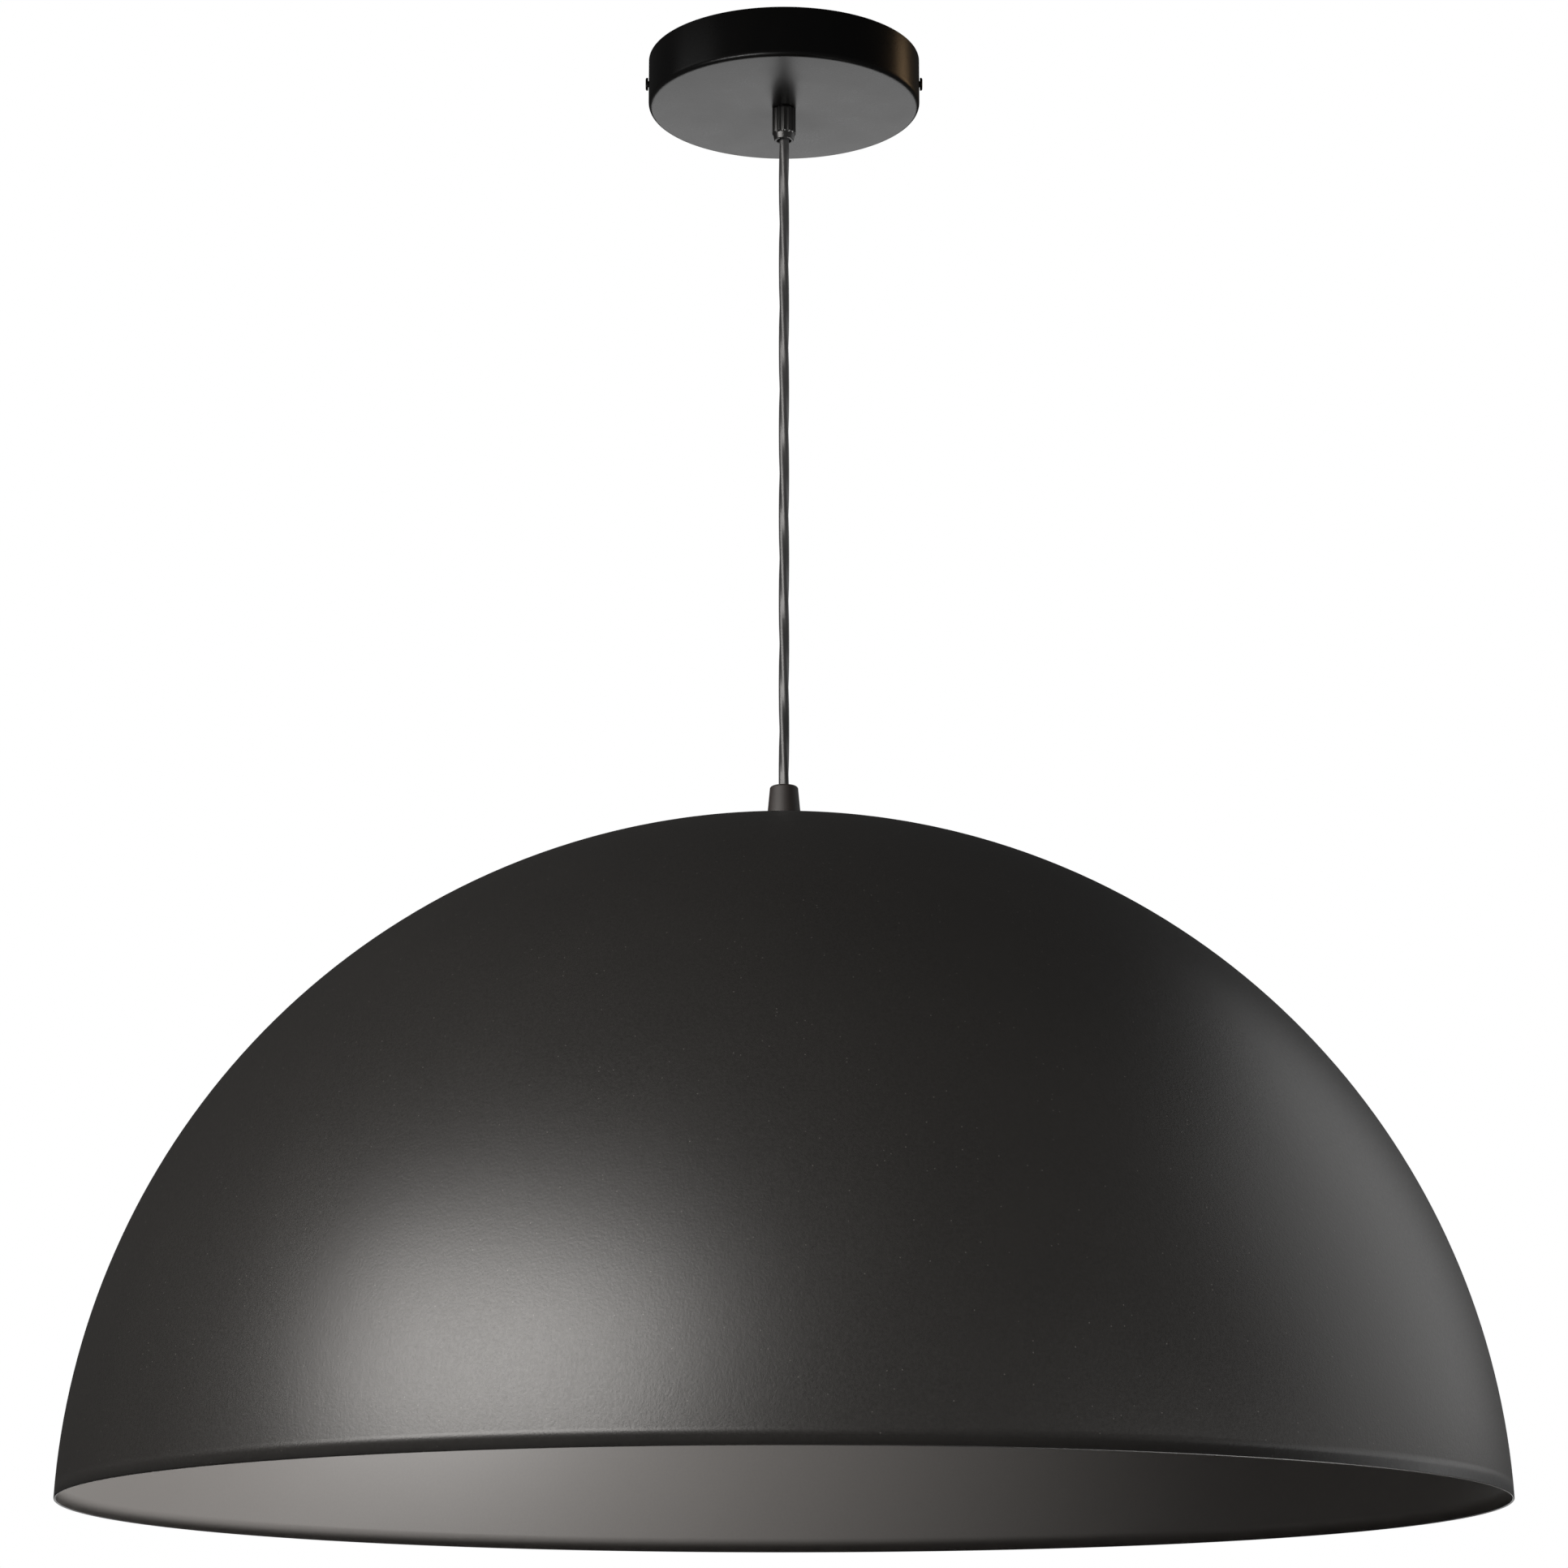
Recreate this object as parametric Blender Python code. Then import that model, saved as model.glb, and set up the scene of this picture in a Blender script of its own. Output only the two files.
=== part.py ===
"""Pendant ceiling light: a ceiling rose, a round three-core cord and a hemispherical metal shade
over a screw-in lamp.

Metres, +Z up. The origin is the middle of the ceiling bracket's top face, where it meets the
ceiling, and everything hangs below it.
"""
import math

import bmesh
import bpy
from mathutils import Matrix, Vector

MM = 0.001
GAP = 0.3 * MM  # between pieces that touch
THREAD_GAP = 0.3 * MM  # radial, between a plain shank and the hole that it screws into

# --- ceiling rose -----------------------------------------------------------------------------
ROSE_RADIUS = 61.0 * MM
ROSE_HEIGHT = 23.0 * MM
ROSE_WALL = 1.0 * MM
ROSE_EDGE = 1.4 * MM  # radius of the rolled lower edge
STRAP_THICKNESS = 1.5 * MM
STRAP_WIDTH = 16.0 * MM
EAR_DROP = 16.0 * MM
EAR_CLEARANCE = 0.5 * MM
SLOT_PITCH = 94.0 * MM  # between the two ceiling screws
SLOT_LENGTH = 12.0 * MM
SLOT_WIDTH = 4.6 * MM
SIDE_SCREW_DROP = 11.0 * MM
SIDE_SCREW_RADIUS = 1.5 * MM
SIDE_SCREW_LENGTH = 9.0 * MM
SIDE_SCREW_HEAD = (2.9 * MM, 1.1 * MM)  # radius, height

# --- terminal block under the bracket ---------------------------------------------------------
POLES = ("live", "neutral", "earth")
POLE_PITCH = 8.0 * MM
FIRST_POLE_X = 15.0 * MM
BLOCK_DEPTH = 17.0 * MM
BLOCK_HEIGHT = 11.0 * MM
LUG_LENGTH = 5.5 * MM
LUG_HEIGHT = 3.0 * MM
SLEEVE_RADIUS = 2.3 * MM
SLEEVE_WALL = 0.8 * MM
SLEEVE_LENGTH = 14.0 * MM
CLAMP_SCREW_RADIUS = 1.3 * MM
CLAMP_SCREW_Y = 4.4 * MM
CLAMP_SCREW_INSET = 0.5 * MM
FIXING_SCREW_RADIUS = 1.25 * MM
FIXING_SCREW_HEAD = (2.4 * MM, 1.6 * MM)
BOND_X = -20.0 * MM
BOND_SCREW_RADIUS = 1.5 * MM
BOND_SCREW_HEAD = (3.0 * MM, 1.8 * MM)
BOND_TAG_TAIL = 4.0 * MM
TAG_THICKNESS = 0.8 * MM
TAG_EYE_WIDTH = 1.8 * MM
TAG_TAIL_HALF_WIDTH = 1.6 * MM

# --- cord -------------------------------------------------------------------------------------
CORD_RADIUS = 2.3 * MM
CORE_RADIUS = 0.8 * MM
CORE_OFFSET = 1.25 * MM  # from the cord's middle to each core's
BEND_LENGTH = 8.0 * MM  # between the two pivots of a bend
PIVOT_GAP = 0.3 * MM  # from a pivot to the round end on each side of it
PIVOT_CLEARANCE = 2.2 * MM  # from a grip's mouth to the nearest pivot

# --- cord grip below the rose -----------------------------------------------------------------
GRIP_RADIUS = 5.4 * MM
GRIP_LENGTH = 15.0 * MM
GRIP_TAPER = 3.4 * MM  # height of the plain cone at the mouth
GRIP_MOUTH_RADIUS = 3.3 * MM
GRIP_LIP_RADIUS = 4.3 * MM
FLUTES = 14
FLUTE_DEPTH = 0.45 * MM
GRIP_COLLAR = 0.5 * MM  # the bevel above the flutes
GRIP_FLARE = 2.2 * MM  # how far up the mouth narrows to the cord
SPIGOT_RADIUS = 4.0 * MM
SPIGOT_LENGTH = 10.0 * MM
GRIP_NUT_WALL = 2.2 * MM
GRIP_NUT_HEIGHT = 4.0 * MM
WASHER_WIDTH = 3.7 * MM
WASHER_THICKNESS = 1.0 * MM
GRUB_RADIUS = 1.2 * MM
GRUB_SLOT = (0.5 * MM, 0.8 * MM)  # width, and twice the depth

# --- shade ------------------------------------------------------------------------------------
DROP = 645.0 * MM  # from the ceiling to the shade's rim
SHADE_RADIUS = 300.0 * MM
SHADE_HEIGHT = 289.0 * MM
SHADE_WALL = 0.8 * MM
SHADE_SEGMENTS = 64
SHADE_RINGS = 14

# --- cap, hollow rod and nuts that clamp the shade --------------------------------------------
CAP_RADIUS = 7.8 * MM
CAP_SHOULDER_RADIUS = 6.1 * MM
CAP_HEIGHT = 18.7 * MM
CAP_ROUND = 2.4 * MM
ROD_RADIUS = 5.0 * MM
ROD_WALL = 1.7 * MM
ROD_DEPTH_IN_CAP = 8.0 * MM
ROD_NUT_WALL = 1.2 * MM
ROD_NUT_HEIGHT = 3.0 * MM
SHADE_WASHER_WIDTH = 5.7 * MM
ROD_TAG_TAIL = 2.6 * MM
CAP_SCREW_ANGLE = 20.0  # degrees round from the right, towards the back
CAP_SCREW_INSET = 0.7 * MM

# --- lamp holder ------------------------------------------------------------------------------
HOLDER_RADIUS = 19.5 * MM
HOLDER_WALL = 1.6 * MM
HOLDER_NECK_RADIUS = 8.6 * MM
HOLDER_NECK_HEIGHT = 5.3 * MM
HOLDER_CROWN = 15.0 * MM  # from the underside of the neck to where the crown's side ends
HOLDER_ROUND = 7.0 * MM  # radius of the crown's shoulder
HOLDER_SKIRT = 37.0 * MM
SKIRT_LIP = 0.9 * MM
GRIP_BAND_DROP = 9.0 * MM  # from the skirt's top edge to its raised band
GRIP_BAND_HEIGHT = 12.0 * MM
GRIP_BAND_RISE = 0.5 * MM
JOINT_OVERLAP = 7.0 * MM  # how far the skirt's neck goes up into the crown
INSERT_THICKNESS = 9.0 * MM
INSERT_DROP = 11.0 * MM  # from the underside of the neck to the insert
THREAD_PITCH = 3.63 * MM
THREAD_TURNS = 5
THREAD_RADIUS = 13.6 * MM  # inside the shell, at its crests
THREAD_DEPTH = 0.7 * MM
SHEET = 0.5 * MM  # wall of both threaded shells
TERMINAL_X = 9.2 * MM
TERMINAL_SIZE = 5.0 * MM
TERMINAL_SCREW_RADIUS = 1.1 * MM
TERMINAL_SCREW_OFFSET = 0.4 * MM
TERMINAL_SCREW_RISE = 0.6 * MM
CONTACT_SIZE = (16.0 * MM, 5.0 * MM, 0.6 * MM)

# --- lamp -------------------------------------------------------------------------------------
LAMP_LENGTH = 105.0 * MM
LAMP_RADIUS = 30.0 * MM
LAMP_NECK_RADIUS = 11.1 * MM
LAMP_GLASS = 0.9 * MM
LAMP_CLEARANCE = 0.5 * MM  # radial, between the two threaded shells
TIP_RADIUS = 4.8 * MM
TIP_HEIGHT = 1.6 * MM
CONE_HEIGHT = 4.2 * MM
NECK_IN_CAP = 3.0 * MM  # from the cap's upper edge down to the glass
NECK_BELOW_CAP = 1.5 * MM
STEM_LENGTH = 38.0 * MM
STEM_RADIUS = 2.6 * MM
STEM_FLARE = 8.0 * MM  # height over which the stem widens to the neck
FILAMENT_RADIUS = 0.45 * MM
FILAMENT_GAP = 7.0 * MM  # between the stem's end and the filament

# --- places that follow from the sizes ----------------------------------------------------------
ROSE_FLOOR = -ROSE_HEIGHT
ROSE_FLOOR_TOP = ROSE_FLOOR + ROSE_WALL
GRIP_TOP = ROSE_FLOOR - GAP
GRIP_MOUTH = GRIP_TOP - GRIP_LENGTH
SPIGOT_TOP = ROSE_FLOOR_TOP + SPIGOT_LENGTH
CORD_TOP = SPIGOT_TOP + 1.5 * MM
TOP_PIVOT_X = GRIP_MOUTH - PIVOT_CLEARANCE
TOP_PIVOT_Y = TOP_PIVOT_X - BEND_LENGTH

SHADE_TOP = SHADE_HEIGHT - DROP
SHADE_CURVE = (SHADE_RADIUS ** 2 + SHADE_HEIGHT ** 2) / (2 * SHADE_HEIGHT)
CAP_BASE = SHADE_TOP + GAP
CAP_TOP = CAP_BASE + CAP_HEIGHT
LOW_PIVOT_Y = CAP_TOP + PIVOT_CLEARANCE
LOW_PIVOT_X = LOW_PIVOT_Y + BEND_LENGTH
CORD_MIDDLE = (TOP_PIVOT_Y + LOW_PIVOT_X) / 2

SHADE_WASHER_RADIUS = ROD_RADIUS + THREAD_GAP + SHADE_WASHER_WIDTH
SHADE_SAG = SHADE_WASHER_RADIUS ** 2 / (2 * (SHADE_CURVE - SHADE_WALL))  # the shade's fall over the washer
SHADE_WASHER_TOP = SHADE_TOP - SHADE_WALL - SHADE_SAG - GAP
HOLDER_TOP = SHADE_WASHER_TOP - WASHER_THICKNESS - GAP
NECK_UNDERSIDE = HOLDER_TOP - HOLDER_NECK_HEIGHT
ROD_TAG_TOP = NECK_UNDERSIDE - GAP
ROD_NUT_TOP = ROD_TAG_TOP - TAG_THICKNESS - GAP
ROD_TOP = CAP_BASE + ROD_DEPTH_IN_CAP
ROD_BOTTOM = ROD_NUT_TOP - ROD_NUT_HEIGHT
CORD_BOTTOM = ROD_BOTTOM - 1.0 * MM
CROWN_RIM = NECK_UNDERSIDE - HOLDER_CROWN
SKIRT_TOP = CROWN_RIM - GAP
SKIRT_RIM = SKIRT_TOP - HOLDER_SKIRT
INSERT_TOP = NECK_UNDERSIDE - INSERT_DROP
INSERT_BOTTOM = INSERT_TOP - INSERT_THICKNESS
THREAD_LENGTH = THREAD_TURNS * THREAD_PITCH
SHELL_TOP = INSERT_BOTTOM - GAP
TIP_TOP = INSERT_BOTTOM - 2 * GAP - CONTACT_SIZE[2]
CONE_TOP = TIP_TOP - TIP_HEIGHT - GAP
LAMP_SHELL_TOP = CONE_TOP - CONE_HEIGHT - GAP
LAMP_THREAD_RADIUS = THREAD_RADIUS - LAMP_CLEARANCE
LAMP_BOTTOM = TIP_TOP - LAMP_LENGTH

MATERIALS = {
    "black_powder_coat": ((0.018, 0.017, 0.016), 0.62, 0.0),
    "black_gloss_paint": ((0.012, 0.012, 0.012), 0.35, 0.0),
    "dark_plastic": ((0.045, 0.040, 0.038), 0.5, 0.0),
    "black_plastic": ((0.015, 0.015, 0.015), 0.4, 0.0),
    "cord_sheath": ((0.035, 0.035, 0.036), 0.45, 0.0),
    "zinc_steel": ((0.60, 0.61, 0.62), 0.38, 1.0),
    "brass": ((0.72, 0.52, 0.22), 0.35, 1.0),
    "white_plastic": ((0.82, 0.81, 0.77), 0.45, 0.0),
    "ceramic": ((0.85, 0.83, 0.78), 0.3, 0.0),
    "nickel": ((0.70, 0.69, 0.66), 0.3, 1.0),
    "opal_glass": ((0.92, 0.91, 0.88), 0.25, 0.0),
    "black_glass": ((0.02, 0.02, 0.022), 0.1, 0.0),
    "brown_insulation": ((0.16, 0.06, 0.025), 0.5, 0.0),
    "blue_insulation": ((0.03, 0.10, 0.42), 0.5, 0.0),
    "green_insulation": ((0.10, 0.36, 0.06), 0.5, 0.0),
    "tungsten": ((0.35, 0.33, 0.31), 0.5, 1.0),
}
CORE_MATERIALS = dict(zip(POLES, ("brown_insulation", "blue_insulation", "green_insulation")))


def clear_scene():
    for old in list(bpy.data.objects):
        bpy.data.objects.remove(old)


def material(name):
    """The named Principled BSDF material, made the first time that it is asked for."""
    found = bpy.data.materials.get(name)
    if found:
        return found
    colour, roughness, metallic = MATERIALS[name]
    made = bpy.data.materials.new(name)
    made.use_nodes = True
    shader = made.node_tree.nodes["Principled BSDF"]
    shader.inputs["Base Color"].default_value = (*colour, 1.0)
    shader.inputs["Roughness"].default_value = roughness
    shader.inputs["Metallic"].default_value = metallic
    return made


def add(name, data, finish, parent, location=(0.0, 0.0, 0.0), turn=None):
    """An object in the scene, in its place and under its pivot."""
    made = bpy.data.objects.new(name, data)
    bpy.context.collection.objects.link(made)
    data.materials.append(material(finish))
    made.matrix_world = Matrix.Translation(location) @ (turn or Matrix())
    if parent:
        made.parent = parent
        made.matrix_parent_inverse = parent.matrix_world.inverted()
    return made


def mesh_from(name, bm, sharp_degrees=35):
    bmesh.ops.recalc_face_normals(bm, faces=bm.faces)
    data = bpy.data.meshes.new(name)
    bm.to_mesh(data)
    bm.free()
    data.shade_smooth()
    data.set_sharp_from_angle(angle=math.radians(sharp_degrees))
    return data


def pivot(name, z, parent=None):
    """An empty on a joint's axis."""
    made = bpy.data.objects.new(name, None)
    bpy.context.collection.objects.link(made)
    made.empty_display_size = 0.02
    made.matrix_world = Matrix.Translation((0.0, 0.0, z))
    if parent:
        made.parent = parent
        made.matrix_parent_inverse = parent.matrix_world.inverted()
    bpy.context.view_layer.update()
    return made


def turned_mesh(name, profile, segments, rule=None):
    """A turned solid. profile lists (radius, z): a closed loop, or a line from one pole to the other,
    where the radius is 0. rule(radius, z, angle) gives the radius of a piece that isn't round."""
    bm = bmesh.new()
    rings = []
    for radius, z in profile:
        if radius == 0.0:
            rings.append([bm.verts.new((0.0, 0.0, z))])
            continue
        ring = []
        for step in range(segments):
            angle = math.tau * step / segments
            reach = rule(radius, z, angle) if rule else radius
            ring.append(bm.verts.new((reach * math.cos(angle), reach * math.sin(angle), z)))
        rings.append(ring)
    closed = len(rings[0]) > 1
    pairs = list(zip(rings, rings[1:])) + ([(rings[-1], rings[0])] if closed else [])
    for upper, lower in pairs:
        flat = abs(upper[0].co.z - lower[0].co.z) < 1e-9
        if flat and 1 in (len(upper), len(lower)):
            bm.faces.new(max(upper, lower, key=len))
            continue
        for step in range(segments):
            after = (step + 1) % segments
            corners = [upper[step % len(upper)], upper[after % len(upper)]]
            corners += [lower[after % len(lower)], lower[step % len(lower)]]
            bm.faces.new(list(dict.fromkeys(corners)))
    bmesh.ops.delete(bm, geom=[v for v in bm.verts if not v.link_faces], context="VERTS")
    return mesh_from(name, bm)


def turned(name, z, profile, finish, parent, segments=32, rule=None):
    """A turned solid on the lamp's own axis, its profile measured from height z."""
    return add(name, turned_mesh(name, profile, segments, rule), finish, parent, (0.0, 0.0, z))


def block_mesh(name, size, bevel=0.0):
    bm = bmesh.new()
    bmesh.ops.create_cube(bm, size=1.0)
    bmesh.ops.scale(bm, vec=size, verts=bm.verts)
    if bevel:
        bmesh.ops.bevel(bm, geom=bm.edges, offset=bevel, segments=1, affect="EDGES")
    return mesh_from(name, bm)


def cutter(name, data, location, turn=None):
    """A shape that only cuts. It stays in the file as a wire frame."""
    made = add(name, data, "zinc_steel", None, location, turn)
    made.hide_render = True
    made.display_type = "WIRE"
    return made


def cut(piece, one, solver="EXACT"):
    modifier = piece.modifiers.new(one.name, "BOOLEAN")
    modifier.operation = "DIFFERENCE"
    modifier.solver = solver
    modifier.object = one


AXIS_TURN = {
    "X": Matrix.Rotation(math.radians(90), 4, "Y"),
    "-X": Matrix.Rotation(math.radians(-90), 4, "Y"),
    "Y": Matrix.Rotation(math.radians(-90), 4, "X"),
    "Z": Matrix(),
    "-Z": Matrix.Rotation(math.radians(180), 4, "X"),
}


def drill(name, radius, length, location, axis, segments=16):
    """A round cutter, centred on location, along axis."""
    half = length / 2
    profile = [(0.0, half), (radius, half), (radius, -half), (0.0, -half)]
    return cutter(name, turned_mesh(name, profile, segments), location, AXIS_TURN[axis])


def slot_cutter(name, length, width, depth, location):
    """A cutter with round ends, its length along X."""
    radius, half = width / 2, depth / 2
    data = turned_mesh(name, [(0.0, half), (radius, half), (radius, -half), (0.0, -half)], 24)
    straight = (length - width) / 2
    for vertex in data.vertices:
        if abs(vertex.co.x) > 1e-9:
            vertex.co.x += math.copysign(straight, vertex.co.x)
    return cutter(name, data, location)


def screw(name, location, axis, radius, length, finish, parent, head=(0.0, 0.0), slot_width=0.7 * MM):
    """A slotted screw. Its seat is at location, its tip points along axis and its head, given as
    (radius, height), stands behind the seat. With no head it is a grub screw, slotted at the seat."""
    head_radius, head_height = head
    tip = 0.3 * MM
    if head_height:
        soft = head_height * 0.3
        outer = [(0.0, -head_height), (head_radius - soft, -head_height), (head_radius, soft - head_height)]
        outer += [(head_radius, 0.0), (radius, 0.0)]
    else:
        outer = [(0.0, 0.0), (radius, 0.0)]
    profile = outer + [(radius, length - tip), (radius - tip, length), (0.0, length)]
    piece = add(name, turned_mesh(name, profile, 14), finish, parent, location, AXIS_TURN[axis])
    depth = 0.5 * head_height if head_height else 0.6 * MM
    wide = 4 * max(radius, head_radius)
    blade = block_mesh(name + "_slot", (wide, slot_width, 2 * depth))
    seat = Matrix.Translation(location) @ AXIS_TURN[axis] @ Matrix.Translation((0.0, 0.0, -head_height))
    cut(piece, cutter(name + "_slot", blade, seat.to_translation(), AXIS_TURN[axis]))
    return piece


def hexagon(bore):
    """The radius rule of a nut: the outside follows six flats and the bore stays round."""
    def rule(radius, z, angle):
        if radius <= bore:
            return radius
        return radius / math.cos((angle + math.pi / 6) % (math.pi / 3) - math.pi / 6)
    return rule


def nut(name, z, wall, height, bore, finish, parent):
    """A hexagon nut. Its wall is the least one, from the bore to a flat."""
    half, soft = bore + wall, 0.3 * MM
    profile = [(bore, 0.0), (half - soft, 0.0), (half, -soft), (half, soft - height)]
    profile += [(half - soft, -height), (bore, -height)]
    return turned(name, z, profile, finish, parent, 24, hexagon(bore))


def washer(name, z, width, bore, finish, parent):
    radius = bore + width
    profile = [(bore, 0.0), (radius, 0.0), (radius, -WASHER_THICKNESS), (bore, -WASHER_THICKNESS)]
    return turned(name, z, profile, finish, parent, 32)


def smooth_route(points, steps):
    """Points on a smooth curve through the route's own points, with steps points to each stretch."""
    route = [Vector(p) for p in points]
    ends = [2 * route[0] - route[1]] + route + [2 * route[-1] - route[-2]]
    found = []
    for before, start, end, after in zip(ends, ends[1:], ends[2:], ends[3:]):
        for step in range(steps):
            t = step / steps
            pull = (end - before) * t + (2 * before - 5 * start + 4 * end - after) * t ** 2
            found.append(start + 0.5 * (pull + (3 * start - before - 3 * end + after) * t ** 3))
    return found + [route[-1]]


def lead(name, points, radius, finish, parent, steps=3):
    """An insulated core, as a bevelled curve along a route in millimetres."""
    data = bpy.data.curves.new(name, "CURVE")
    data.dimensions = "3D"
    data.bevel_depth = radius
    data.bevel_resolution = 2
    data.use_fill_caps = True
    spline = data.splines.new("POLY")
    route = [p * MM for p in smooth_route(points, steps)]
    spline.points.add(len(route) - 1)
    for point, place in zip(spline.points, route):
        point.co = (*place, 1.0)
    return add(name, data, finish, parent)


def arc(middle, radius, start, end, steps):
    """Points (x, z) along an arc, in degrees."""
    found = []
    for step in range(steps + 1):
        angle = math.radians(start + (end - start) * step / steps)
        found.append((middle[0] + radius * math.cos(angle), middle[1] + radius * math.sin(angle)))
    return found


# --- the cord -----------------------------------------------------------------------------------

def round_end(z, direction, steps=4):
    """A half sphere of the cord's radius that ends at height z, from the pole to the side."""
    middle = z - direction * CORD_RADIUS
    points = []
    for step in range(steps + 1):
        angle = math.pi / 2 * step / steps
        points.append((CORD_RADIUS * math.sin(angle), middle + direction * CORD_RADIUS * math.cos(angle)))
    points[0] = (0.0, z)
    return points


def cord_piece(name, top, bottom, parent, round_top=True, round_bottom=True):
    upper = round_end(top, 1) if round_top else [(0.0, top), (CORD_RADIUS, top)]
    lower = round_end(bottom, -1) if round_bottom else [(0.0, bottom), (CORD_RADIUS, bottom)]
    return turned(name, 0.0, upper + lower[::-1], "cord_sheath", parent, 20)


# --- ceiling rose -------------------------------------------------------------------------------

def ceiling_bracket():
    """A folded steel strap: two slots for the ceiling screws and an ear at each end for the rose."""
    inside = ROSE_RADIUS - ROSE_WALL
    ear = math.sqrt(inside ** 2 - (STRAP_WIDTH / 2) ** 2) - EAR_CLEARANCE
    t = STRAP_THICKNESS
    outline = [(-ear, 0.0), (ear, 0.0), (ear, -EAR_DROP), (ear - t, -EAR_DROP), (ear - t, -t)]
    outline += [(t - ear, -t), (t - ear, -EAR_DROP), (-ear, -EAR_DROP)]
    bm = bmesh.new()
    side = bm.faces.new([bm.verts.new((x, -STRAP_WIDTH / 2, z)) for x, z in outline])
    far = bmesh.ops.extrude_face_region(bm, geom=[side])["geom"]
    moved = [item for item in far if isinstance(item, bmesh.types.BMVert)]
    bmesh.ops.translate(bm, vec=(0.0, STRAP_WIDTH, 0.0), verts=moved)
    strap = add("ceiling_bracket", mesh_from("ceiling_bracket", bm), "zinc_steel", None)
    deep = 4 * t
    screw_hole = SIDE_SCREW_RADIUS + THREAD_GAP
    for side_name, sign in (("left", -1), ("right", 1)):
        place = (sign * SLOT_PITCH / 2, 0.0, -t / 2)
        slot = slot_cutter("ceiling_slot_" + side_name, SLOT_LENGTH, SLOT_WIDTH, deep, place)
        cut(strap, slot, "MANIFOLD")
        place = (sign * ear, 0.0, -SIDE_SCREW_DROP)
        cut(strap, drill("ear_hole_" + side_name, screw_hole, deep, place, "X"), "MANIFOLD")
    fixing = (fixing_screw_x(), 0.0, -t / 2)
    cut(strap, drill("fixing_hole", FIXING_SCREW_RADIUS + THREAD_GAP, deep, fixing, "Z"), "MANIFOLD")
    bond = (BOND_X, 0.0, -t / 2)
    cut(strap, drill("bond_hole", BOND_SCREW_RADIUS + THREAD_GAP, deep, bond, "Z"), "MANIFOLD")


def rose_shell():
    """The visible cup, open towards the ceiling."""
    inner_edge = ROSE_EDGE - ROSE_WALL
    top = -GAP
    hole = SPIGOT_RADIUS + THREAD_GAP
    outside = arc((ROSE_RADIUS - ROSE_EDGE, ROSE_FLOOR + ROSE_EDGE), ROSE_EDGE, 0, -90, 4)
    inside = arc((ROSE_RADIUS - ROSE_EDGE, ROSE_FLOOR + ROSE_EDGE), inner_edge, -90, 0, 2)
    profile = [(ROSE_RADIUS - ROSE_WALL, top), (ROSE_RADIUS, top)] + outside
    profile += [(hole, ROSE_FLOOR), (hole, ROSE_FLOOR_TOP)] + inside
    shell = turned("rose_shell", 0.0, profile, "black_gloss_paint", None, 60)
    screw_hole = SIDE_SCREW_RADIUS + THREAD_GAP
    for side_name, sign in (("left", -1), ("right", 1)):
        place = (sign * ROSE_RADIUS, 0.0, -SIDE_SCREW_DROP)
        cut(shell, drill("shell_hole_" + side_name, screw_hole, 8 * ROSE_WALL, place, "X"))


def side_screws():
    finish = "black_gloss_paint"
    radius, length = SIDE_SCREW_RADIUS, SIDE_SCREW_LENGTH
    seat = ROSE_RADIUS + GAP
    for side_name, sign, axis in (("left", -1, "X"), ("right", 1, "-X")):
        place = (sign * seat, 0.0, -SIDE_SCREW_DROP)
        screw("rose_screw_" + side_name, place, axis, radius, length, finish, None, SIDE_SCREW_HEAD)


def block_top():
    return -STRAP_THICKNESS - GAP


def sleeve_z():
    return block_top() - BLOCK_HEIGHT / 2


def pole_x(number):
    return FIRST_POLE_X + number * POLE_PITCH


def block_end():
    """Where the terminal block's body ends and its fixing lug starts."""
    return pole_x(len(POLES) - 1) + POLE_PITCH / 2


def fixing_screw_x():
    return block_end() + LUG_LENGTH / 2


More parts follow.
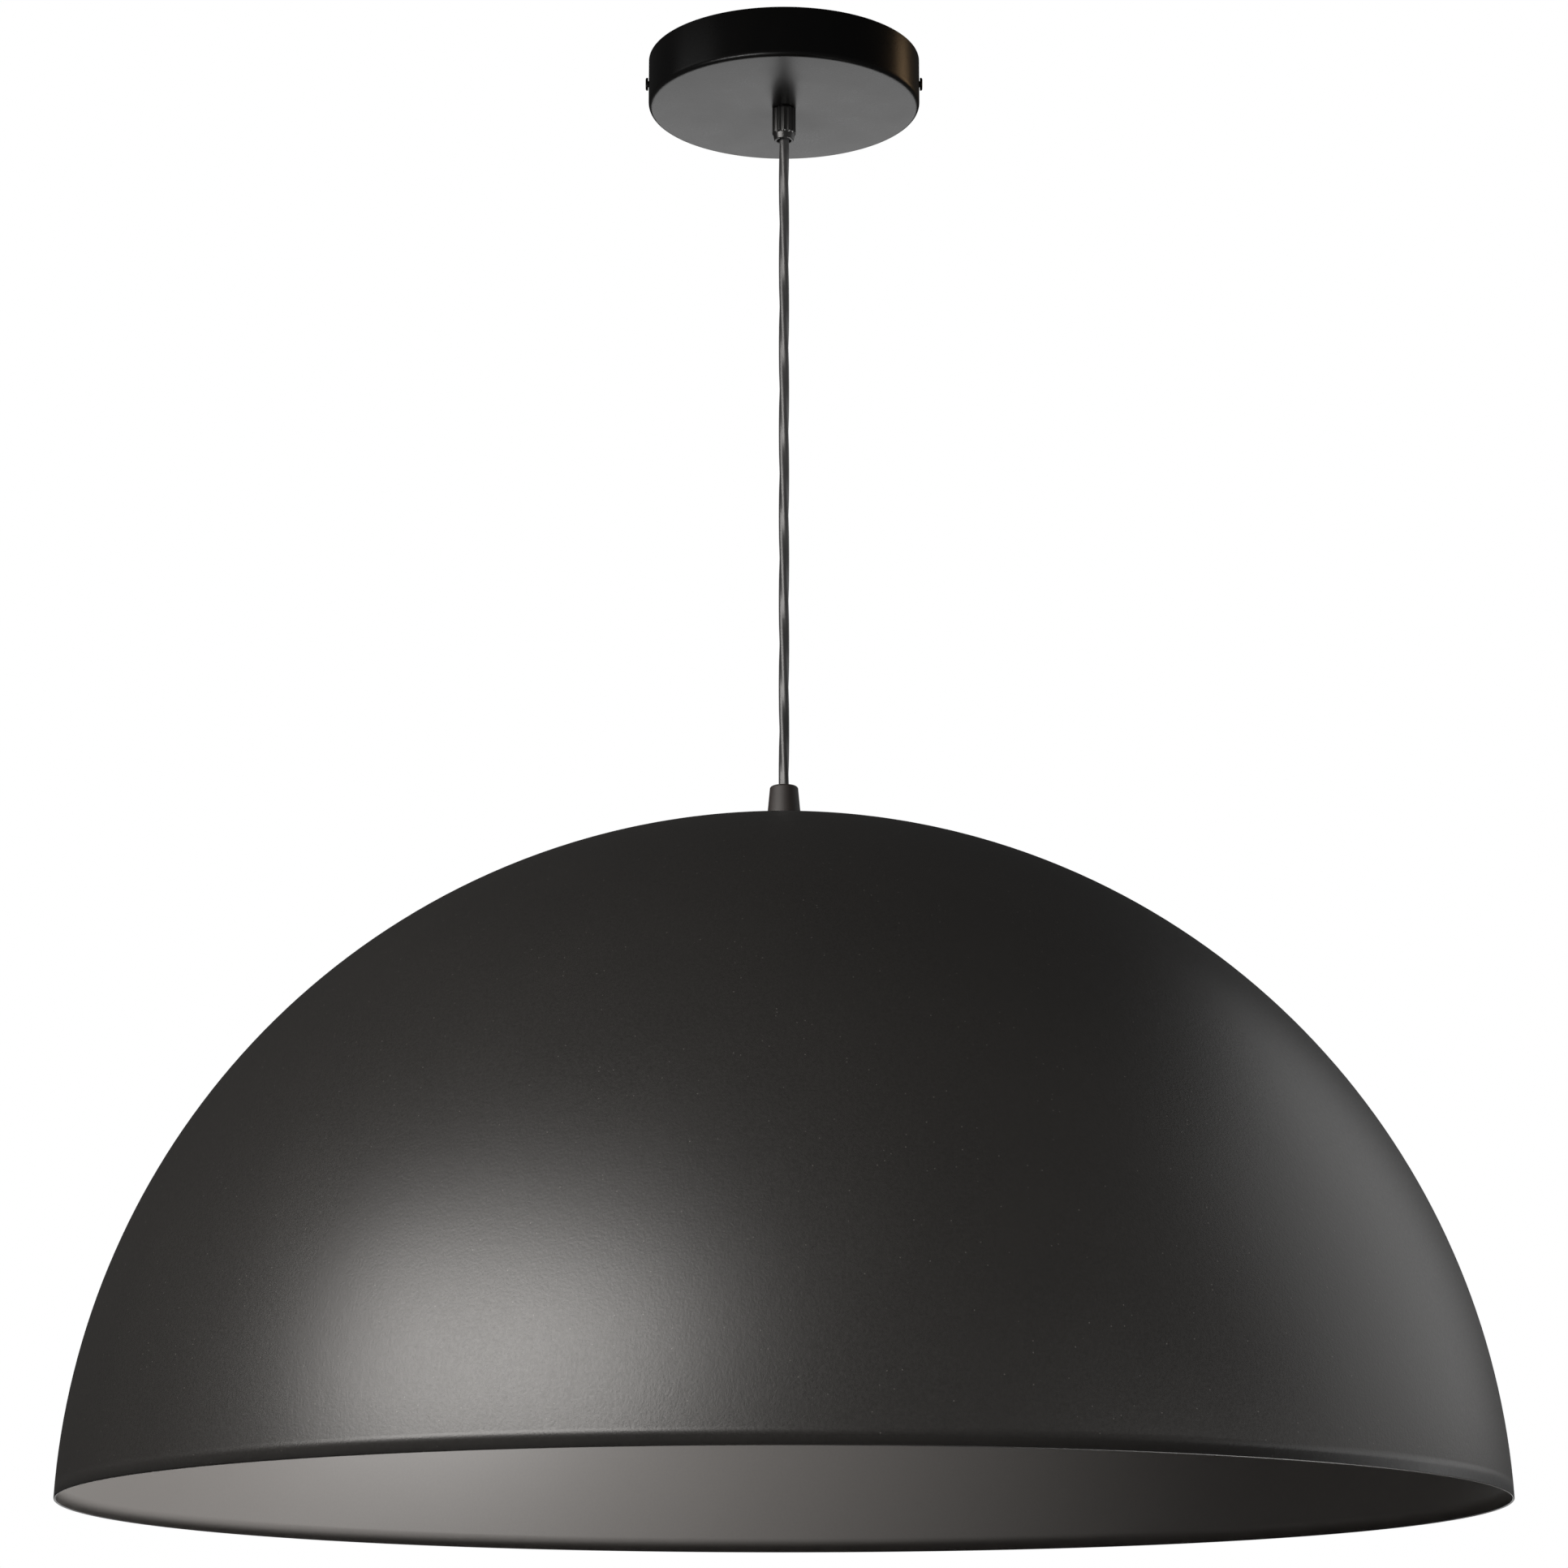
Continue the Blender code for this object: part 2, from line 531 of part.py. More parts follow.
def terminal_block():
    """Three brass sleeves in a plastic body, each with two clamp screws reached from below."""
    start = pole_x(0) - POLE_PITCH / 2
    top, low = block_top(), block_top() - BLOCK_HEIGHT
    lug_end = block_end() + LUG_LENGTH
    outline = [(start, top), (lug_end, top), (lug_end, top - LUG_HEIGHT), (block_end(), top - LUG_HEIGHT)]
    outline += [(block_end(), low), (start, low)]
    bm = bmesh.new()
    side = bm.faces.new([bm.verts.new((x, -BLOCK_DEPTH / 2, z)) for x, z in outline])
    far = bmesh.ops.extrude_face_region(bm, geom=[side])["geom"]
    moved = [item for item in far if isinstance(item, bmesh.types.BMVert)]
    bmesh.ops.translate(bm, vec=(0.0, BLOCK_DEPTH, 0.0), verts=moved)
    body = add("terminal_block", mesh_from("terminal_block", bm), "white_plastic", None)
    bore = SLEEVE_RADIUS + THREAD_GAP
    screw_hole = CLAMP_SCREW_RADIUS + THREAD_GAP
    tip = sleeve_z() - CORE_RADIUS - GAP
    for number, pole in enumerate(POLES):
        x = pole_x(number)
        cut(body, drill("block_bore_" + pole, bore, 2 * BLOCK_DEPTH, (x, 0.0, sleeve_z()), "Y"))
        sleeve = sleeve_piece(pole, x)
        for end, y in (("mains", CLAMP_SCREW_Y), ("lamp", -CLAMP_SCREW_Y)):
            hole = "screw_hole_{}_{}".format(pole, end)
            well = drill(hole, screw_hole, BLOCK_HEIGHT, (x, y, sleeve_z() - BLOCK_HEIGHT / 2), "Z")
            cut(body, well)
            cut(sleeve, well)
            seat = low + CLAMP_SCREW_INSET
            name = "clamp_screw_{}_{}".format(pole, end)
            screw(name, (x, y, seat), "Z", CLAMP_SCREW_RADIUS, tip - seat, "zinc_steel", None)
    place = (fixing_screw_x(), 0.0, top - LUG_HEIGHT / 2)
    cut(body, drill("lug_hole", FIXING_SCREW_RADIUS + THREAD_GAP, 2 * LUG_HEIGHT, place, "Z"))
    seat = top - LUG_HEIGHT - GAP
    place = (fixing_screw_x(), 0.0, seat)
    name, reach = "block_fixing_screw", -GAP - seat
    screw(name, place, "Z", FIXING_SCREW_RADIUS, reach, "zinc_steel", None, FIXING_SCREW_HEAD)


def sleeve_piece(pole, x):
    half, inner = SLEEVE_LENGTH / 2, SLEEVE_RADIUS - SLEEVE_WALL
    profile = [(inner, half), (SLEEVE_RADIUS, half), (SLEEVE_RADIUS, -half), (inner, -half)]
    name = "terminal_sleeve_" + pole
    return add(name, turned_mesh(name, profile, 16), "brass", None, (x, 0.0, sleeve_z()), AXIS_TURN["Y"])


def rose_leads():
    """The cord's three cores, fanned out to the front ends of the terminal sleeves."""
    z = sleeve_z() / MM
    start = CORD_TOP / MM + GAP / MM
    off = CORE_OFFSET / MM
    poles = [pole_x(number) / MM for number in range(len(POLES))]
    side = off * math.cos(math.radians(30))
    leave = start + 1.4  # where the cores part
    low = z - 0.6
    routes = {
        "live": [(side, off / 2, start), (side + 0.3, off / 2, leave), (5, -4, low), (9.5, -12.5, z)],
        "neutral": [(0, -off, start), (0, -off - 0.4, leave), (3, -10, low), (13, -17.5, z)],
        "earth": [(-side, off / 2, start), (-side - 0.4, off / 2, leave), (-6, -6, low), (-1, -17, z)],
    }
    routes["live"] += [(poles[0] - 1, -13.5, z), (poles[0], -10, z)]
    routes["neutral"] += [(poles[1] - 1.5, -17, z), (poles[1], -11, z)]
    routes["earth"] += [(12, -22.5, z), (poles[2] - 4, -20.5, z), (poles[2], -11, z)]
    for number, pole in enumerate(POLES):
        route = routes[pole] + [(poles[number], -7, z), (poles[number], -1, z)]
        lead("rose_lead_" + pole, route, CORE_RADIUS, CORE_MATERIALS[pole], None)


def earth_bond():
    """The bracket's own earth: a ring tag under a screw, and a lead back to the earth pole."""
    top = -STRAP_THICKNESS - GAP
    bore = BOND_SCREW_RADIUS + THREAD_GAP
    tag = add("bond_tag", tag_mesh("bond_tag", bore, BOND_TAG_TAIL), "nickel", None, (BOND_X, 0.0, top))
    cut(tag, drill("bond_tag_hole", bore, 6 * TAG_THICKNESS, (BOND_X, 0.0, top), "Z"))
    seat = top - TAG_THICKNESS - GAP
    place, reach = (BOND_X, 0.0, seat), -GAP - seat
    screw("bond_screw", place, "Z", BOND_SCREW_RADIUS, reach, "zinc_steel", None, BOND_SCREW_HEAD)
    z = sleeve_z() / MM
    x = BOND_X / MM
    clear = (GAP + CORE_RADIUS) / MM
    start_z = (top - TAG_THICKNESS) / MM - clear
    pole = pole_x(2) / MM
    route = [(x, 6.0, start_z), (x, 9.5, start_z), (x + 6, 16, z + 1), (0, 19.5, z), (18, 19.5, z)]
    route += [(pole - 3, 16.5, z), (pole, 11, z), (pole, 7, z), (pole, 1, z)]
    lead("bond_lead", route, CORE_RADIUS, CORE_MATERIALS["earth"], None)


def tag_mesh(name, bore, tail_length):
    """A ring tag: a flat eye with a tail along +Y. The bore is drilled afterwards."""
    eye, tail = bore + TAG_EYE_WIDTH, TAG_TAIL_HALF_WIDTH
    reach = eye + tail_length
    start = math.asin(tail / eye)
    outline = []
    steps = 16
    sweep = math.tau - 2 * start
    for step in range(steps + 1):
        angle = math.pi / 2 + start + sweep * step / steps
        outline.append((eye * math.cos(angle), eye * math.sin(angle)))
    outline += [(tail, reach), (-tail, reach)]
    bm = bmesh.new()
    face = bm.faces.new([bm.verts.new((x, y, 0.0)) for x, y in outline])
    low = bmesh.ops.extrude_face_region(bm, geom=[face])["geom"]
    moved = [item for item in low if isinstance(item, bmesh.types.BMVert)]
    bmesh.ops.translate(bm, vec=(0.0, 0.0, -TAG_THICKNESS), verts=moved)
    return mesh_from(name, bm)


def cord_grip():
    """The fluted sleeve that clamps the cord, its spigot up through the rose's floor and its nut."""
    bore = CORD_RADIUS + GAP
    low = GRIP_MOUTH - GRIP_TOP
    flute_low = low + GRIP_TAPER
    spigot = SPIGOT_TOP - GRIP_TOP
    step = 0.4 * MM  # at the foot of the flutes
    profile = [(bore, spigot), (SPIGOT_RADIUS, spigot), (SPIGOT_RADIUS, 0.0)]
    profile += [(GRIP_RADIUS - GRIP_COLLAR, 0.0), (GRIP_RADIUS, -GRIP_COLLAR), (GRIP_RADIUS, flute_low)]
    profile += [(GRIP_RADIUS - GRIP_COLLAR, flute_low - step), (GRIP_LIP_RADIUS, low)]
    profile += [(GRIP_MOUTH_RADIUS, low), (bore, low + GRIP_FLARE)]

    def rule(radius, z, angle):
        if radius < GRIP_RADIUS - 1e-6:
            return radius
        return radius - FLUTE_DEPTH * (0.5 - 0.5 * math.cos(FLUTES * angle))

    grip = turned("cord_grip", GRIP_TOP, profile, "black_plastic", None, 4 * FLUTES, rule)
    z = GRIP_TOP + flute_low / 2
    hole_length = 2 * GRIP_RADIUS
    hole_middle = (0.0, GRIP_RADIUS, z)
    cut(grip, drill("grip_screw_hole", GRUB_RADIUS + THREAD_GAP, hole_length, hole_middle, "Y"))
    seat = (0.0, GRIP_RADIUS - FLUTE_DEPTH, z)
    reach = GRIP_RADIUS - FLUTE_DEPTH - bore
    back = Matrix.Rotation(math.radians(90), 4, "X")
    grub("grip_screw", seat, back, reach, None)
    washer_top = ROSE_FLOOR_TOP + GAP + WASHER_THICKNESS
    nut_top = washer_top + GAP + GRIP_NUT_HEIGHT
    around = SPIGOT_RADIUS + THREAD_GAP
    washer("grip_washer", washer_top, WASHER_WIDTH, around, "zinc_steel", None)
    nut("grip_nut", nut_top, GRIP_NUT_WALL, GRIP_NUT_HEIGHT, around, "zinc_steel", None)


def grub(name, seat, turn, length, parent):
    """A small nylon screw that presses on the cord, its slot outward."""
    tip = 0.25 * MM
    profile = [(0.0, 0.0), (GRUB_RADIUS, 0.0), (GRUB_RADIUS, length - tip)]
    profile += [(GRUB_RADIUS - tip, length), (0.0, length)]
    piece = add(name, turned_mesh(name, profile, 16), "black_plastic", parent, seat, turn)
    blade = block_mesh(name + "_slot", (8 * GRUB_RADIUS, *GRUB_SLOT))
    cut(piece, cutter(name + "_slot", blade, seat, turn))


# --- shade and what clamps it -------------------------------------------------------------------

def shade_dome(parent):
    """Most of a half sphere, spun from sheet, with a round lower edge and a hole at its top."""
    outer, inner = SHADE_CURVE, SHADE_CURVE - SHADE_WALL
    middle = SHADE_HEIGHT - SHADE_CURVE  # the sphere's middle, above the rim
    hole = ROD_RADIUS + THREAD_GAP
    rim_angle = -math.asin(middle / outer)

    def line(radius):
        """From the hole's edge down to the rim."""
        top_angle = math.acos(hole / radius)
        points = []
        for step in range(SHADE_RINGS + 1):
            angle = top_angle + (rim_angle - top_angle) * step / SHADE_RINGS
            points.append((radius * math.cos(angle), middle + radius * math.sin(angle)))
        return points

    edge = (outer + inner) / 2
    edge_middle = (edge * math.cos(rim_angle), middle + edge * math.sin(rim_angle))
    lip = arc(edge_middle, SHADE_WALL / 2, 0, -180, 4)[1:-1]
    profile = line(outer) + lip + line(inner)[::-1]
    turned("shade_dome", -DROP, profile, "black_powder_coat", parent, SHADE_SEGMENTS)


def holder_cap(parent):
    """The tapered cap on top of the shade. It grips the cord and takes the hollow rod."""
    bore = CORD_RADIUS + GAP
    rod_hole = ROD_RADIUS + THREAD_GAP
    roof = ROD_DEPTH_IN_CAP + GAP
    shoulder = arc((CAP_SHOULDER_RADIUS - CAP_ROUND, CAP_HEIGHT - CAP_ROUND), CAP_ROUND, 90, 5, 4)
    profile = [(bore, CAP_HEIGHT)] + shoulder + [(CAP_RADIUS, 0.0)]
    profile += [(rod_hole, 0.0), (rod_hole, roof), (bore, roof)]
    cap = turned("holder_cap", CAP_BASE, profile, "dark_plastic", parent, 28)
    z = CAP_BASE + (roof + CAP_HEIGHT) / 2 - 0.4 * MM
    direction = math.radians(CAP_SCREW_ANGLE)
    reach = CAP_SHOULDER_RADIUS - CAP_SCREW_INSET
    seat = (reach * math.cos(direction), reach * math.sin(direction), z)
    inward = Matrix.Rotation(direction, 4, "Z") @ AXIS_TURN["-X"]
    hole = drill("cap_screw_hole", GRUB_RADIUS + THREAD_GAP, 2 * CAP_RADIUS, (0.0, 0.0, 0.0), "Z")
    outward = inward @ Matrix.Translation((0.0, 0.0, -bore / 2 - CAP_RADIUS))
    hole.matrix_world = Matrix.Translation((0.0, 0.0, z)) @ outward
    cut(cap, hole)
    grub("cap_screw", seat, inward, reach - bore, parent)


def shade_clamp(parent):
    """The hollow rod through the shade, with its washer above the lamp holder and its nut inside."""
    inner = ROD_RADIUS - ROD_WALL
    length = ROD_TOP - ROD_BOTTOM
    soft = 0.3 * MM
    profile = [(inner, 0.0), (ROD_RADIUS - soft, 0.0), (ROD_RADIUS, -soft), (ROD_RADIUS, soft - length)]
    profile += [(ROD_RADIUS - soft, -length), (inner, -length)]
    turned("hollow_rod", ROD_TOP, profile, "zinc_steel", parent, 24)
    bore = ROD_RADIUS + THREAD_GAP
    washer("shade_washer", SHADE_WASHER_TOP, SHADE_WASHER_WIDTH, bore, "zinc_steel", parent)
    nut("rod_nut", ROD_NUT_TOP, ROD_NUT_WALL, ROD_NUT_HEIGHT, bore, "zinc_steel", parent)
    place = (0.0, 0.0, ROD_TAG_TOP)
    tag = add("rod_tag", tag_mesh("rod_tag", bore, ROD_TAG_TAIL), "nickel", parent, place)
    cut(tag, drill("rod_tag_hole", bore, 6 * TAG_THICKNESS, place, "Z"))


# --- lamp holder --------------------------------------------------------------------------------

def holder_crown(parent):
    """The upper shell: a neck for the rod, a rounded shoulder and a straight side."""
    wall = HOLDER_WALL
    neck = HOLDER_NECK_HEIGHT
    bottom = -neck - HOLDER_CROWN
    middle = (HOLDER_RADIUS - HOLDER_ROUND, -neck + wall - HOLDER_ROUND)
    outside = [(HOLDER_NECK_RADIUS, 0.0), (HOLDER_NECK_RADIUS, wall - neck)]
    outside += arc(middle, HOLDER_ROUND, 90, 0, 4) + [(HOLDER_RADIUS, bottom)]
    inside = [(HOLDER_RADIUS - wall, bottom)] + arc(middle, HOLDER_ROUND - wall, 0, 90, 4)
    bore = ROD_RADIUS + THREAD_GAP
    profile = [(bore, 0.0)] + outside + inside + [(bore, -neck)]
    turned("holder_crown", HOLDER_TOP, profile, "black_plastic", parent, 36)


def holder_skirt(parent):
    """The lower shell, whose neck screws up into the crown, with a grip band and an inward lip."""
    wall = HOLDER_WALL
    neck_radius = HOLDER_RADIUS - wall - THREAD_GAP
    inner = neck_radius - wall
    bottom = -HOLDER_SKIRT
    rise = GRIP_BAND_RISE
    band_top, band = -GRIP_BAND_DROP, HOLDER_RADIUS + rise
    band_low = band_top - GRIP_BAND_HEIGHT
    soft = 0.4 * MM
    mouth = inner - SKIRT_LIP
    profile = [(inner, JOINT_OVERLAP), (neck_radius, JOINT_OVERLAP), (neck_radius, 0.0)]
    profile += [(HOLDER_RADIUS, 0.0), (HOLDER_RADIUS, band_top), (band, band_top - rise)]
    profile += [(band, band_low + rise), (HOLDER_RADIUS, band_low), (HOLDER_RADIUS - soft, bottom + soft)]
    profile += [(HOLDER_RADIUS - wall / 2, bottom), (mouth, bottom), (mouth, bottom + wall)]
    profile += [(inner, bottom + wall + SKIRT_LIP)]
    turned("holder_skirt", SKIRT_TOP, profile, "black_plastic", parent, 36)


def holder_inside(parent):
    """The ceramic insert, its two terminals, the contacts and the threaded shell."""
    insert_radius = HOLDER_RADIUS - 2 * HOLDER_WALL - 2 * THREAD_GAP
    soft = 0.6 * MM
    low = -INSERT_THICKNESS
    profile = [(0.0, 0.0), (insert_radius - soft, 0.0), (insert_radius, -soft), (insert_radius, low + soft)]
    profile += [(insert_radius - soft, low), (0.0, low)]
    turned("holder_insert", INSERT_TOP, profile, "ceramic", parent, 32)

    for pole, sign in (("live", -1), ("neutral", 1)):
        holder_terminal(pole, sign, parent)

    profile = shell_profile(THREAD_RADIUS, THREAD_RADIUS + SHEET)
    turned("threaded_shell", SHELL_TOP, profile, "nickel", parent, 20)
    spring = block_mesh("centre_contact", CONTACT_SIZE, 0.1 * MM)
    place = (0.0, 0.0, INSERT_BOTTOM - GAP - CONTACT_SIZE[2] / 2)
    add("centre_contact", spring, "brass", parent, place)


def holder_terminal(pole, sign, parent):
    """A brass block on the insert with a bore for the core and a screw from above."""
    name = "holder_terminal_" + pole
    height = INSERT_TOP + GAP + TERMINAL_SIZE / 2
    data = block_mesh(name, (TERMINAL_SIZE, TERMINAL_SIZE, TERMINAL_SIZE), 0.2 * MM)
    place = (sign * TERMINAL_X, 0.0, height)
    piece = add(name, data, "brass", parent, place)
    bore = CORE_RADIUS + THREAD_GAP
    inner_half = (sign * (TERMINAL_X - TERMINAL_SIZE / 2), 0.0, height)
    cut(piece, drill(name + "_bore", bore, 1.3 * TERMINAL_SIZE, inner_half, "X"))
    screw_x = sign * (TERMINAL_X + TERMINAL_SCREW_OFFSET)
    top = height + TERMINAL_SIZE / 2
    tip = height + CORE_RADIUS + GAP
    radius = TERMINAL_SCREW_RADIUS
    hole = drill(name + "_screw_hole", radius + THREAD_GAP, TERMINAL_SIZE, (screw_x, 0.0, top), "Z")
    cut(piece, hole)
    seat = top + TERMINAL_SCREW_RISE
    place = (screw_x, 0.0, seat)
    screw("holder_screw_" + pole, place, "-Z", radius, seat - tip, "zinc_steel", parent)


def shell_profile(inner, outer):
    """The closed outline of a threaded tube from z 0 down, its thread shown as round waves."""
    steps = 4  # to each turn
    outside, inside = [], []
    for step in range(THREAD_TURNS * steps + 1):
        z = -THREAD_LENGTH * step / (THREAD_TURNS * steps)
        wave = THREAD_DEPTH * (0.5 - 0.5 * math.cos(math.tau * step / steps))
        outside.append((outer + wave, z))
        inside.append((inner + wave, z))
    return outside + inside[::-1]


def holder_leads(parent):
    """The cord's cores from its lower end to the two terminals and to the rod's earth tag."""
    start = (CORD_BOTTOM - GAP) / MM
    off = CORE_OFFSET / MM
    block = (TERMINAL_X - TERMINAL_SIZE / 2) / MM
    z = (INSERT_TOP + GAP + TERMINAL_SIZE / 2) / MM
    for pole, sign in (("live", -1), ("neutral", 1)):
        line = [(off, start), (off + 0.3, start - 0.7), (block - 1.6, z + 0.3), (block, z), (block + 1.6, z)]
        route = [(sign * x, 0, height) for x, height in line]
        lead("holder_lead_" + pole, route, CORE_RADIUS, CORE_MATERIALS[pole], parent)
    tag_low = (ROD_TAG_TOP - TAG_THICKNESS) / MM
    end = tag_low - (CORE_RADIUS + GAP) / MM
    route = [(0, off, start), (0, off + 0.3, start - 0.9), (0, 5, start - 2.4)]
    route += [(0, 9.0, start - 0.6), (0, 10.4, end - 1.2), (0, 9.4, end)]
    lead("holder_lead_earth", route, CORE_RADIUS, CORE_MATERIALS["earth"], parent)


# --- lamp ---------------------------------------------------------------------------------------

def lamp_tip(parent):
    profile = [(0.0, 0.0), (0.7 * TIP_RADIUS, -0.15 * TIP_HEIGHT), (TIP_RADIUS, -0.6 * TIP_HEIGHT)]
    profile += [(TIP_RADIUS, -TIP_HEIGHT), (0.0, -TIP_HEIGHT)]
    turned("lamp_tip_contact", TIP_TOP, profile, "nickel", parent, 24)


def lamp(parent):
    """Glass insulator, threaded cap, opal glass envelope, stem and filament."""
    base = LAMP_THREAD_RADIUS - THREAD_DEPTH - SHEET - GAP
    profile = [(0.0, 0.0), (TIP_RADIUS + 0.6 * MM, 0.0), (base, -CONE_HEIGHT), (0.0, -CONE_HEIGHT)]
    turned("lamp_insulator", CONE_TOP, profile, "black_glass", parent, 32)
    outer = LAMP_THREAD_RADIUS - THREAD_DEPTH
    turned("lamp_cap", LAMP_SHELL_TOP, shell_profile(outer - SHEET, outer), "nickel", parent, 20)

    neck_top = LAMP_SHELL_TOP - NECK_IN_CAP
    height = neck_top - LAMP_BOTTOM
    bulge = height - LAMP_RADIUS  # from the neck's top to the level of the widest ring
    straight = LAMP_SHELL_TOP - THREAD_LENGTH - neck_top - NECK_BELOW_CAP
    outside = [(LAMP_NECK_RADIUS, 0.0), (LAMP_NECK_RADIUS, straight)]
    steps = 5
    for step in range(1, steps):
        t = step / steps
        swell = (LAMP_RADIUS - LAMP_NECK_RADIUS) * t * t * (3 - 2 * t)
        outside.append((LAMP_NECK_RADIUS + swell, straight - (bulge + straight) * t))
    inside = [(radius - LAMP_GLASS, z) for radius, z in outside]
    outside += arc((0.0, -bulge), LAMP_RADIUS, 0, -90, 6)[:-1] + [(0.0, -height)]
    inside += arc((0.0, -bulge), LAMP_RADIUS - LAMP_GLASS, 0, -90, 6)[:-1] + [(0.0, LAMP_GLASS - height)]
    profile = outside[::-1] + inside
    turned("lamp_glass", neck_top, profile, "opal_glass", parent, 28)

    edge, soft = 1.0 * MM, 0.8 * MM
    stem_top = neck_top - edge
    flare = LAMP_NECK_RADIUS - LAMP_GLASS - LAMP_CLEARANCE
    profile = [(0.0, 0.0), (flare, 0.0), (flare, -edge), (STEM_RADIUS, -edge - STEM_FLARE)]
    profile += [(STEM_RADIUS, edge - STEM_LENGTH), (STEM_RADIUS - soft, -STEM_LENGTH), (0.0, -STEM_LENGTH)]
    turned("lamp_stem", stem_top, profile, "ceramic", parent, 20)
    z = (stem_top - STEM_LENGTH - FILAMENT_GAP) / MM
    route = [(-9, 0, z), (-5, 4, z - 1), (0, 6, z), (5, 4, z - 1)]
    route += [(9, 0, z), (5, -4, z - 1), (0, -6, z), (-5, -4, z - 1)]
    lead("lamp_filament", route, FILAMENT_RADIUS, "tungsten", parent, 2)


def build():
    clear_scene()
    ceiling_bracket()
    rose_shell()
    side_screws()
    terminal_block()
    rose_leads()
    earth_bond()
    cord_grip()
    cord_piece("cord_in_rose", CORD_TOP, TOP_PIVOT_X + PIVOT_GAP, None, round_top=False)

    swing_x = pivot("swing_front_back", TOP_PIVOT_X)
    swing_y = pivot("swing_left_right", TOP_PIVOT_Y, swing_x)
    twist = pivot("cord_twist", CORD_MIDDLE, swing_y)
    tilt_x = pivot("tilt_front_back", LOW_PIVOT_X, twist)
    tilt_y = pivot("tilt_left_right", LOW_PIVOT_Y, tilt_x)
    lamp_pivot = pivot("lamp_thread", TIP_TOP, tilt_y)
    cord_piece("cord_bend_top", TOP_PIVOT_X - PIVOT_GAP, TOP_PIVOT_Y + PIVOT_GAP, swing_x)
    cord_piece("cord_upper", TOP_PIVOT_Y - PIVOT_GAP, CORD_MIDDLE + GAP / 2, swing_y, round_bottom=False)
    cord_piece("cord_lower", CORD_MIDDLE - GAP / 2, LOW_PIVOT_X + PIVOT_GAP, twist, round_top=False)
    cord_piece("cord_bend_bottom", LOW_PIVOT_X - PIVOT_GAP, LOW_PIVOT_Y + PIVOT_GAP, tilt_x)
    cord_piece("cord_in_holder", LOW_PIVOT_Y - PIVOT_GAP, CORD_BOTTOM, tilt_y, round_bottom=False)

    holder_cap(tilt_y)
    shade_dome(tilt_y)
    shade_clamp(tilt_y)
    holder_crown(tilt_y)
    holder_skirt(tilt_y)
    holder_inside(tilt_y)
    holder_leads(tilt_y)
    lamp_tip(lamp_pivot)
    lamp(lamp_pivot)


build()
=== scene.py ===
"""Looks of a pendant ceiling light: a painted rose, a three-core cord and a spun dome shade.

Metres, +Z up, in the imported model's own frame. The ceiling is z = 0 and the light hangs below it.
"""
import math

import bpy
from mathutils import Matrix, Vector


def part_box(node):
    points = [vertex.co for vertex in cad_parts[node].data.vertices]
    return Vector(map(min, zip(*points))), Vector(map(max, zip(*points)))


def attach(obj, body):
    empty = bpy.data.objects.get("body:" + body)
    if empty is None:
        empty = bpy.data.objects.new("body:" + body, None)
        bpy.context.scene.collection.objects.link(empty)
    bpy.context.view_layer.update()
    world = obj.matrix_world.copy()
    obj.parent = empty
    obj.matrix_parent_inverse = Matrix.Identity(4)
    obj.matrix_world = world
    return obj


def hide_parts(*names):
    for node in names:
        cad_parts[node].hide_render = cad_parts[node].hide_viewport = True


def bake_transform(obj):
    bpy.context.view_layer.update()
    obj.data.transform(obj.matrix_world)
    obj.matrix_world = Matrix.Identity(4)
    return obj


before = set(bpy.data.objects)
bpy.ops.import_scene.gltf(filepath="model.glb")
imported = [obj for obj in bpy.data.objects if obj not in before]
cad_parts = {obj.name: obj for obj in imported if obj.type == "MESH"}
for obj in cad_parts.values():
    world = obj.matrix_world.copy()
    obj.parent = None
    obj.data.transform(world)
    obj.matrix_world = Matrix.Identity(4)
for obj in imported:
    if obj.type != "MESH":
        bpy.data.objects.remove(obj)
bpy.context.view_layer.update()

MM = 0.001

ROSE_LOW, ROSE_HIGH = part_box("rose_shell")
GRIP_LOW, GRIP_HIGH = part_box("cord_grip")
SHADE_LOW, SHADE_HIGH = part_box("shade_dome")
CAP_LOW, CAP_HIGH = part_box("holder_cap")
CROWN_LOW, CROWN_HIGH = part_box("holder_crown")
SKIRT_LOW, SKIRT_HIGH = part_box("holder_skirt")
INSERT_LOW, INSERT_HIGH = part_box("holder_insert")
GLASS_LOW, GLASS_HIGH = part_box("lamp_glass")
CORD_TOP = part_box("cord_in_rose")[1].z
CORD_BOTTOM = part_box("cord_in_holder")[0].z
TOP_PIVOT_X, TOP_PIVOT_Y = (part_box("cord_bend_top")[i].z for i in (1, 0))
LOW_PIVOT_X, LOW_PIVOT_Y = (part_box("cord_bend_bottom")[i].z for i in (1, 0))
CORD_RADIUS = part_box("cord_upper")[1].x
CORE_RADIUS = 0.8 * MM
HOLDER_RADIUS = 19.5 * MM
THREAD_PITCH = 3.63 * MM
CAP_SCREW_TURN = 20.0  # degrees from +X
CAP_SCREW_WAY = Vector((math.cos(math.radians(CAP_SCREW_TURN)), math.sin(math.radians(CAP_SCREW_TURN)), 0.0))
CAP_SCREW_RISE = Vector((0.0, 0.0, CAP_LOW.z + 13.1 * MM))


# --- camera and light ---------------------------------------------------------------------------

def link(name, data):
    made = bpy.data.objects.new(name, data)
    bpy.context.collection.objects.link(made)
    return made


def camera():
    data = bpy.data.cameras.new("camera")
    data.sensor_width = 36.0
    data.lens = 98.39
    made = link("camera", data)
    made.location = (0.0, -1.804, -0.775)
    made.rotation_euler = (math.radians(90 + 13.68), 0.0, 0.0)
    bpy.context.scene.camera = made


